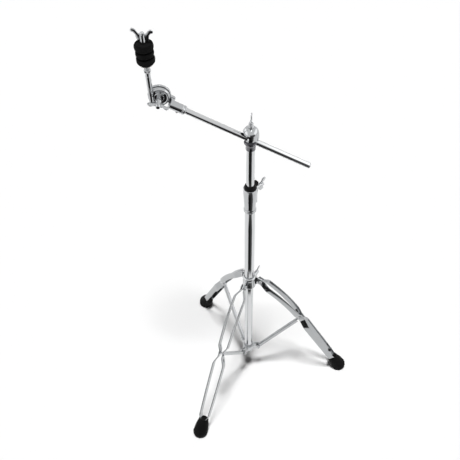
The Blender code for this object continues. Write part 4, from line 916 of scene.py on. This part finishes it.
def bell_side(radius, crown, shoulder, angle):
    """One side of the wall: a quarter ellipse from the bolt's hole to the shoulder, then straight down, and
    at each angle cut off where it meets the opening. That is the plane z = 17 mm - 0.65 x, raised to 9.5 mm
    over the boom's tail, and lowered to the spine's foot behind y = 13 mm."""
    foot = bell_low.z - BALL.z
    bolt_hole = BOLT_RADIUS + 0.0004
    bend = np.linspace(0.0, math.pi / 2, 40)
    reach = np.concatenate([bolt_hole + (radius - bolt_hole) * np.sin(bend), np.full(40, radius)])
    height = np.concatenate([crown - shoulder + shoulder * np.cos(bend),
                             np.linspace(crown - shoulder, foot, 41)[1:]])
    x, y = reach[:, None] * np.cos(angle), reach[:, None] * np.sin(angle)
    plane = 0.0170 - 0.65 * x
    over_tail = smooth((0.0100 - np.abs(y)) / 0.0012) * smooth(x / 0.0040)
    opening = plane + (np.maximum(plane, 0.0095) - plane) * over_tail
    opening = opening + (foot - opening) * smooth((y - 0.0120) / 0.0020)
    above = height[:, None] - opening
    above[-1] = np.minimum(above[-1], -0.000001)
    after = np.argmax(above <= 0, axis=0)[None]
    left, past = np.take_along_axis(above, after - 1, 0), np.take_along_axis(above, after, 0)
    share = np.linspace(0.0, 1.0, 30)[:, None] * (after - 1 + left / (left - past))
    row = np.arange(len(reach))
    radii, heights = np.interp(share, row, reach), np.interp(share, row, height)
    return np.stack([radii * np.cos(angle), radii * np.sin(angle), heights], axis=-1)


def bell_shell():
    """The outer side, a lip that bulges from it to the inner side as 0.5 mm sin(t), and the inner side."""
    angle = np.linspace(0, 2 * math.pi, 180, endpoint=False)
    top = bell_high.z - BALL.z
    outer = bell_side(BELL_RADIUS, top, BELL_SHOULDER, angle)
    inner = bell_side(BELL_RADIUS - BELL_WALL, top - 0.0060, BELL_INNER_SHOULDER, angle)
    across = np.linspace(0.0, 1.0, 7)[1:-1, None, None]
    lip = outer[-1] * (1 - across) + inner[-1] * across
    lip[..., 2] -= 0.0005 * np.sin(across[..., 0] * math.pi)
    rows = np.concatenate([outer, lip, inner[::-1]])
    return placed((rows.reshape(-1, 3), grid_faces(len(rows), len(angle), loop=True)), Matrix.Translation(BALL))


make_piece("tilter_dome", [bell_shell()], CAST_CHROME, "chrome", "tilter_bell")


def softened_copy(name, node, width, finish):
    """A CAD node whose shape is right, with its doubles merged and every sharp edge rolled by a Bevel."""
    mesh = frame["nodes"][node].data.copy()
    shape = bmesh.new()
    shape.from_mesh(mesh)
    bmesh.ops.remove_doubles(shape, verts=shape.verts, dist=0.000002)
    bmesh.ops.dissolve_limit(shape, angle_limit=math.radians(1.0), verts=shape.verts, edges=shape.edges)
    shape.to_mesh(mesh)
    shape.free()
    mesh.materials.clear()
    mesh.materials.append(finish)
    mesh.shade_smooth()
    piece = bpy.data.objects.new(name, mesh)
    SCENE.collection.objects.link(piece)
    roll = piece.modifiers.new("rolled_edges", "BEVEL")
    roll.width = width
    roll.segments = 3
    roll.limit_method = "ANGLE"
    roll.angle_limit = math.radians(38.0)
    roll.harden_normals = False
    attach(piece, BODY_OF[node])
    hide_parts(node)
    return piece


# The tilter cup's chrome gets a plate colour of 0.13 instead of the castings' 0.50: painted shade that stands in
# for the dark reflections in the cup, not a darker metal.
PAINTED_SHADE_CAST = chrome_finish("painted_shade_cast_chrome", (0.13, 0.13, 0.14), 0.10, 0.10, 1.6, 0.35)
softened_copy("tilter_cup_casting", "tilter_cup", 0.0006, PAINTED_SHADE_CAST)
softened_copy("tilter_saddle_pad", "tilter_saddle", 0.0004, NYLON)
softened_copy("tilter_split_ball", "tilter_ball", 0.0002, CAST_CHROME)


def steel_finish():
    """Bright zinc plate: fine turning marks, a faint blue and straw bloom, and duller patches."""
    material = bpy.data.materials.new("zinc_steel")
    material.use_nodes = True
    tree = material.node_tree
    shader = tree.nodes["Principled BSDF"]
    shader.inputs["Metallic"].default_value = 1.0
    place = add_node(tree, "ShaderNodeTexCoord").outputs["Object"]
    bloom = noise(tree, place, 300.0, 3.0)
    tree.links.new(blended(tree, spread(tree, bloom, 0.35, 0.65, 0.0, 1.0), (0.54, 0.55, 0.60, 1.0),
                           (0.62, 0.59, 0.52, 1.0)), shader.inputs["Base Color"])
    tree.links.new(spread(tree, bloom, 0.3, 0.7, 0.22, 0.38), shader.inputs["Roughness"])
    marks = noise(tree, place, 1500.0, 2.0, 0.6, (1.0, 1.0, 4.0))
    relief = add_node(tree, "ShaderNodeBump", {"Height": marks, "Strength": 0.25, "Distance": 0.0001})
    tree.links.new(relief.outputs["Normal"], shader.inputs["Normal"])
    return material


STEEL = steel_finish()


def socket_screw_shell(centre, axis, head_radius, head_height, shank_radius, shank_length):
    """A cap screw along an axis from its seat: shank below, rounded head above with a round socket."""
    inner = head_radius * 0.5
    outline = [(0, -shank_length), (shank_radius, -shank_length), (shank_radius, 0), (head_radius, 0),
               (head_radius, head_height), (inner, head_height), (inner, head_height * 0.4),
               (0, head_height * 0.3)]
    return placed(revolve(rounded(outline, 0.0004, 4), 40), pointing(centre, axis))


for node in ("tilter_screw_left", "tilter_screw_right"):
    middle = centre_of(node)
    outward = Vector((middle.x - BALL.x, middle.y - BALL.y, 0)).normalized()
    seat = Vector((BALL.x, BALL.y, middle.z)) + outward * (BELL_RADIUS + CLEARANCE)
    make_piece(node + "_capped", [socket_screw_shell(seat, outward, 0.0034, 0.0019, 0.0016, 0.0068)], STEEL,
               "steel", node)

# ---------------------------------------------------------------- boom
# A thick-walled chromed tube through the ball, closed by a turned plug at its tail. Its cymbal end sits in
# a socket that is cast in one with a toothless friction disc, and a small screw holds it there.
BOOM_WALL = 0.0016
boom_axis = Vector(JOINTS["boom_slide"]["axis"])
TIP = Vector(JOINTS["boom_roll"]["pos_m"])
DISC_CENTRE = Vector(JOINTS["cymbal_tilt"]["pos_m"])
boom_low, boom_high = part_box("boom_tube")
boom_radius = (boom_high.y - boom_low.y) / 2
BOOM_FRAME = pointing(BALL, boom_axis)
sine, cosine = abs(boom_axis.z), abs(boom_axis.x)
boom_head = (BALL.x - boom_low.x - boom_radius * sine) / cosine
boom_tail = (boom_high.x - BALL.x - boom_radius * sine) / cosine
profile = tube_profile(boom_radius, BOOM_WALL, -boom_tail, boom_head)
make_piece("drawn_boom_tube", [placed(revolve(profile, loop=True), BOOM_FRAME)], TUBE_CHROME, "chrome",
           "boom_tube")
plug_profile = rounded([
    (0, -boom_tail - 0.0030), (boom_radius - 0.0012, -boom_tail - 0.0030), (boom_radius, -boom_tail - 0.0018),
    (boom_radius, -boom_tail - CLEARANCE), (boom_radius - BOOM_WALL - CLEARANCE, -boom_tail - CLEARANCE),
    (boom_radius - BOOM_WALL - CLEARANCE, -boom_tail + 0.0100), (0, -boom_tail + 0.0100)], 0.0005)
make_piece("boom_tail_plug", [placed(revolve(plug_profile), BOOM_FRAME)], TUBE_CHROME, "chrome",
           "boom_end_plug")

SOCKET_RADIUS = 0.0120
SOCKET_LENGTH = 0.0440
SOCKET_REACH = 0.0725
SOCKET_BORE = 0.0385
DISC_RADIUS = 0.0290
FRONT_DISC_RADIUS = 0.0270
DISC_THICK = 0.0090
DISC_GAP = 0.0008
TILTER_BOLT = 0.0040
tip_distance = (TIP - BALL).length
socket_start = tip_distance - SOCKET_REACH
socket_end = socket_start + SOCKET_LENGTH
barrel = rounded([
    (boom_radius + CLEARANCE, socket_start), (SOCKET_RADIUS - 0.0014, socket_start),
    (SOCKET_RADIUS, socket_start + 0.0020), (SOCKET_RADIUS, socket_start + 0.0060),
    (SOCKET_RADIUS - 0.0008, socket_start + 0.0070), (SOCKET_RADIUS - 0.0008, socket_start + 0.0090),
    (SOCKET_RADIUS, socket_start + 0.0100), (SOCKET_RADIUS, socket_end - 0.001),
    (SOCKET_RADIUS - 0.002, socket_end), (0, socket_end), (0, socket_start + SOCKET_BORE),
    (boom_radius + CLEARANCE, socket_start + SOCKET_BORE)], 0.0008, closed=True)
BEHIND = Vector((0.0, 1.0, 0.0))


def disc_profile(radius, thick, rim=0.0026):
    """A disc from its flat friction face at height 0: a rounded rim, a shallow turned recess, and a raised
    centre with a bolt hole."""
    return rounded([
        (TILTER_BOLT + CLEARANCE, 0), (radius - 0.0010, 0), (radius, 0.0012), (radius, thick - 0.0030),
        (radius - 0.0030, thick), (radius - rim - 0.0030, thick), (radius - rim - 0.0046, thick - 0.0018),
        (0.0125, thick - 0.0010), (0.0115, thick), (TILTER_BOLT + CLEARANCE, thick)], 0.0014, 7, closed=True)


def boom_block(start, length, half_width, near, far):
    """A block with rounded corners beside the boom's axis, from near to far behind it and start to start +
    length along it."""
    outline = rounded([(-half_width, 0.0), (half_width, 0.0), (half_width, length), (-half_width, length)],
                      0.003, closed=True)
    corner = BALL + boom_axis * start + BEHIND * (near + far) / 2
    turned = Matrix((boom_axis.cross(BEHIND), boom_axis, -BEHIND)).transposed().to_4x4()
    return placed(slab(outline, far - near, 0.0016), Matrix.Translation(corner) @ turned)


disc_behind = (DISC_CENTRE - TIP).dot(BEHIND) + DISC_GAP
socket_shells = [placed(revolve(barrel, loop=True), BOOM_FRAME),
                 placed(revolve(disc_profile(DISC_RADIUS, DISC_THICK), 128, loop=True),
                        pointing(DISC_CENTRE + BEHIND * DISC_GAP, BEHIND)),
                 boom_block(socket_end - 0.0120, 0.0280, 0.0108, disc_behind + 0.0004,
                            disc_behind + DISC_THICK - 0.0004),
                 boom_block(socket_end - 0.0114, 0.0110, 0.0088, 0.0045, disc_behind + DISC_THICK - 0.0008)]
make_piece("boom_socket_casting", socket_shells, CAST_CHROME, "chrome", "boom_socket")

under = boom_axis.cross(BEHIND)
under = under if under.z < 0 else -under
screw_distance = (centre_of("socket_screw") - BALL).dot(boom_axis)
make_piece("socket_set_screw", [socket_screw_shell(BALL + boom_axis * screw_distance + under * (
    SOCKET_RADIUS + CLEARANCE), under, 0.0036, 0.0032, 0.0018, 0.0037)], STEEL, "steel", "socket_screw")

# ---------------------------------------------------------------- cymbal tilter
# The rod's bracket is a second disc with a drilled post beside it. A bolt with a turned head behind, and
# the wing nut in front, draw the two discs together on a nylon friction washer.
POST_RADIUS = 0.0065
ROD_AXIS = rod_axis.normalized()
top_nut = Vector(JOINTS["top_nut_turn"]["pos_m"])
along_rod = (DISC_CENTRE - top_nut).dot(ROD_AXIS)
ROD_FOOT = top_nut + ROD_AXIS * along_rod
ROD_FRAME = pointing(ROD_FOOT, ROD_AXIS, Vector((1, 0, 0)))
POST_TOP = 0.0780
post_bore = TILTER_BOLT + CLEARANCE
post = rounded([
    (0, -0.0130), (POST_RADIUS - 0.002, -0.0130), (POST_RADIUS, -0.0110), (POST_RADIUS, POST_TOP - 0.0120),
    (POST_RADIUS - 0.0006, POST_TOP - 0.0112), (POST_RADIUS, POST_TOP - 0.0104),
    (POST_RADIUS, POST_TOP - 0.001), (POST_RADIUS - 0.001, POST_TOP), (post_bore, POST_TOP),
    (post_bore, POST_TOP - 0.005), (0, POST_TOP - 0.005)], 0.0006)
BOSS_TALL = 0.0135
BOSS_RADIUS = 0.0065
boss_foot = DISC_THICK - 0.004
boss = rounded([(BOSS_RADIUS, boss_foot), (BOSS_RADIUS, DISC_THICK + BOSS_TALL),
                (TILTER_BOLT + CLEARANCE, DISC_THICK + BOSS_TALL), (TILTER_BOLT + CLEARANCE, boss_foot)],
               0.0006, closed=True)
BRACKET_FRAME = pointing(DISC_CENTRE - BEHIND * DISC_GAP, -BEHIND)
bracket_shells = [placed(revolve(disc_profile(FRONT_DISC_RADIUS, DISC_THICK), 128, loop=True), BRACKET_FRAME),
                  placed(revolve(boss, 64, loop=True), BRACKET_FRAME), placed(revolve(post, 64), ROD_FRAME)]
make_piece("rod_bracket_casting", bracket_shells, CAST_CHROME, "chrome", "rod_bracket")

disc_back = DISC_GAP + DISC_THICK
bolt_tip = -disc_back - BOSS_TALL - 0.0240
bolt_profile = rounded([
    (0, bolt_tip), (TILTER_BOLT - 0.0005, bolt_tip), (TILTER_BOLT, bolt_tip + 0.0005),
    (TILTER_BOLT, disc_back + CLEARANCE), (0.0100, disc_back + CLEARANCE), (0.0100, disc_back + 0.0022),
    (0.0064, disc_back + 0.0048), (0, disc_back + 0.0056)], 0.0005)
DISC_FRAME = pointing(DISC_CENTRE, BEHIND)
make_piece("tilter_carriage_bolt", [placed(revolve(bolt_profile, 64), DISC_FRAME)], CAST_CHROME, "chrome",
           "tilter_bolt")
WASHER_RADIUS = 0.0180
WASHER_HALF = 0.0005
washer_profile = rounded([(WASHER_RADIUS, -WASHER_HALF), (WASHER_RADIUS, WASHER_HALF),
                          (TILTER_BOLT + CLEARANCE, WASHER_HALF), (TILTER_BOLT + CLEARANCE, -WASHER_HALF)],
                         0.0002, 3, closed=True)
make_piece("tilter_friction_washer", [placed(revolve(washer_profile, loop=True), DISC_FRAME)], NYLON,
           "nylon", "tilter_washer")

# ---------------------------------------------------------------- rod and lock collar
# A turned rod, threaded at its top, screwed into the bracket's post. A small knurled collar locks it, and a
# turned shoulder carries the seat washer and the nylon sleeve that keeps the cymbal off the steel.
ROD_RADIUS = 0.0040
rod_end = (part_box("cymbal_rod")[1].z - ROD_FOOT.z) / ROD_AXIS.z - 0.0002
FELT_FOOT = 0.1045
LOCK_RADIUS = 0.0086
LOCK_TALL = 0.0072
LOCK_TEETH = 28
SEAT_RADIUS = 0.0160
SLEEVE_RADIUS = 0.0062
shoulder = FELT_FOOT - 0.0055


def threaded(bottom, top, radius, depth, pitch, count=600):
    """The thread's flanks as a profile: radius - depth |2 frac(h / pitch) - 1|, faded out over one pitch at
    each end."""
    height = np.linspace(bottom, top, count)
    saw = np.abs(2 * np.mod(height / pitch, 1.0) - 1)
    fade = smooth((height - bottom) / pitch) * smooth((top - height) / pitch)
    return np.stack([radius - depth * saw * fade, height], axis=1)


thread_foot = (top_nut - ROD_FOOT).dot(ROD_AXIS) - 0.004
rod_profile = np.vstack([
    [(0, POST_TOP - 0.0260), (ROD_RADIUS, POST_TOP - 0.0260)],
    rounded([(ROD_RADIUS, shoulder - 0.010), (ROD_RADIUS, shoulder - 0.0062), (SLEEVE_RADIUS, shoulder - 0.0050),
             (SLEEVE_RADIUS, shoulder), (ROD_RADIUS, shoulder), (ROD_RADIUS, shoulder + 0.004)], 0.0005),
    threaded(thread_foot, rod_end - 0.0012, ROD_RADIUS, 0.0005, 0.00125, 160),
    [(ROD_RADIUS - 0.0009, rod_end), (0, rod_end)]])
make_piece("threaded_cymbal_rod", [placed(revolve(rod_profile, 40), ROD_FRAME)], TUBE_CHROME, "chrome",
           "cymbal_rod")


def knurled_ring(radius, bore, bottom, top, teeth, depth):
    """A ring whose outer radius is r + depth cos(teeth a), eased to plain at its chamfered ends."""
    steps = teeth * 6
    profile = rounded([(radius - 0.0008, bottom), (radius, bottom + 0.0008), (radius, top - 0.0008),
                       (radius - 0.0008, top), (bore, top), (bore, bottom)], 0.0004, closed=True)
    points, faces = revolve(profile, steps, loop=True)
    distance = np.hypot(points[:, 0], points[:, 1])
    angle = np.arctan2(points[:, 1], points[:, 0])
    scale = 1 + depth * (np.cos(teeth * angle) - 1) / 2 * smooth((distance - radius + 0.001) / 0.001) / distance
    points[:, :2] *= scale[:, None]
    return points, faces


lock_low = POST_TOP + CLEARANCE
lock_ring = knurled_ring(LOCK_RADIUS, ROD_RADIUS + CLEARANCE, lock_low, lock_low + LOCK_TALL, LOCK_TEETH, 0.0005)
make_piece("knurled_lock_collar", [placed(lock_ring, ROD_FRAME)], CAST_CHROME, "chrome", "rod_lock_collar")
seat_foot = shoulder + CLEARANCE
seat_profile = rounded([(SEAT_RADIUS, seat_foot), (SEAT_RADIUS, seat_foot + 0.0016),
                        (SEAT_RADIUS - 0.0012, seat_foot + 0.0024), (ROD_RADIUS + CLEARANCE, seat_foot + 0.0024),
                        (ROD_RADIUS + CLEARANCE, seat_foot)], 0.0005, closed=True)
make_piece("felt_seat_washer", [placed(revolve(seat_profile, loop=True), ROD_FRAME)], STEEL, "steel",
           "felt_seat")
sleeve_foot = seat_foot + 0.0027
sleeve_top = (top_nut - ROD_FOOT).dot(ROD_AXIS) - 0.0010
sleeve_profile = rounded([
    (0.0110, sleeve_foot), (0.0110, sleeve_foot + 0.0018), (SLEEVE_RADIUS, sleeve_foot + 0.0020),
    (SLEEVE_RADIUS, sleeve_top),
    (ROD_RADIUS + CLEARANCE, sleeve_top), (ROD_RADIUS + CLEARANCE, sleeve_foot)], 0.0004, closed=True)
make_piece("cymbal_sleeve", [placed(revolve(sleeve_profile, 64, loop=True), ROD_FRAME)], NYLON, "nylon",
           "rod_sleeve")

# ---------------------------------------------------------------- felts
# Three thick pads punched from pressed black wool felt. The knife leaves their sides slightly barrelled
# and hairy, their rims round, and the nut's pressure has bedded them into one another.
FELTS = (("felt_lower", 0.0232, 0.0200, 3), ("felt_middle", 0.0230, 0.0174, 5),
         ("felt_upper", 0.0236, 0.0184, 8))
FELT_BORE = 0.0065


def felt_finish():
    """Pressed wool: fibres as warped, drawn-out noise in three directions, a soft sheen and pilled tufts."""
    material = bpy.data.materials.new("pressed_felt")
    material.use_nodes = True
    tree = material.node_tree
    shader = tree.nodes["Principled BSDF"]
    place = add_node(tree, "ShaderNodeTexCoord").outputs["Object"]
    layers = [noise(tree, place, 900.0, 4.0, 0.7, stretch)
              for stretch in ((1, 0.2, 1), (0.2, 1, 0.6), (1, 1, 0.15))]
    fibres = sums(tree, "MAXIMUM", sums(tree, "MAXIMUM", layers[0], layers[1]), layers[2])
    tufts = noise(tree, place, 260.0, 5.0, 0.65)
    tree.links.new(blended(tree, spread(tree, fibres, 0.48, 0.78, 0.0, 1.0), (0.0015, 0.0015, 0.0016, 1.0),
                           (0.009, 0.009, 0.0095, 1.0)), shader.inputs["Base Color"])
    tree.links.new(spread(tree, tufts, 0.3, 0.7, 0.88, 1.0), shader.inputs["Roughness"])
    relief = add_node(tree, "ShaderNodeBump", {"Height": sums(tree, "ADD", fibres, tufts), "Strength": 0.8,
                                               "Distance": 0.0004})
    tree.links.new(relief.outputs["Normal"], shader.inputs["Normal"])
    shader.inputs["Sheen Weight"].default_value = 0.04
    shader.inputs["Sheen Roughness"].default_value = 0.6
    shader.inputs["Specular IOR Level"].default_value = 0.03
    return material


def felt_shell(radius, bore, bottom, thick, seed):
    """A barrelled pad: a closed profile whose side bulges as a sine and whose rims are round, pushed in and
    out along its radius and height by a few low waves, and by a fine seeded fuzz."""
    inset = 0.0034
    side = np.linspace(0.0, 1.0, 26)
    bulge = radius - 0.0010 + 0.0010 * np.sin(side * math.pi)
    rim = inset * (np.abs(2 * side - 1) ** 5)
    outer = np.stack([bulge - rim, bottom + thick * side], axis=1)
    top = np.stack([np.linspace(radius - inset - 0.0008, bore, 14)[1:], np.full(13, bottom + thick)], axis=1)
    inner = np.array([(bore, bottom + thick * 0.5)])
    base = top[::-1] * [1, 0] + [0, bottom]
    profile = np.vstack([outer, top, inner, base])
    steps = 180
    points, faces = revolve(profile, steps, loop=True)
    angle = np.arctan2(points[:, 1], points[:, 0])
    distance = np.hypot(points[:, 0], points[:, 1])
    away = smooth((distance - bore) / 0.006)
    wave = 0.00022 * np.sin(2 * angle + seed) + 0.00016 * np.sin(5 * angle + 2 * seed)
    fuzz = np.random.default_rng(seed).normal(0.0, 0.00009, len(points))
    swell = (wave - 0.0005 + fuzz) * away
    points[:, :2] *= (1 + swell / distance)[:, None]
    dip = 0.00012 * np.sin(3 * angle + seed) * away
    points[:, 2] += np.where(points[:, 2] > bottom + thick / 2, -0.0002, 0.0002) + dip * 0.5
    return points, faces


FELT = felt_finish()
level = FELT_FOOT
for node, radius, thick, seed in FELTS:
    shell = placed(felt_shell(radius, FELT_BORE, level, thick, seed), ROD_FRAME)
    pad = make_piece(node + "_pad", [shell], FELT, "felt", node)
    level += thick + CLEARANCE
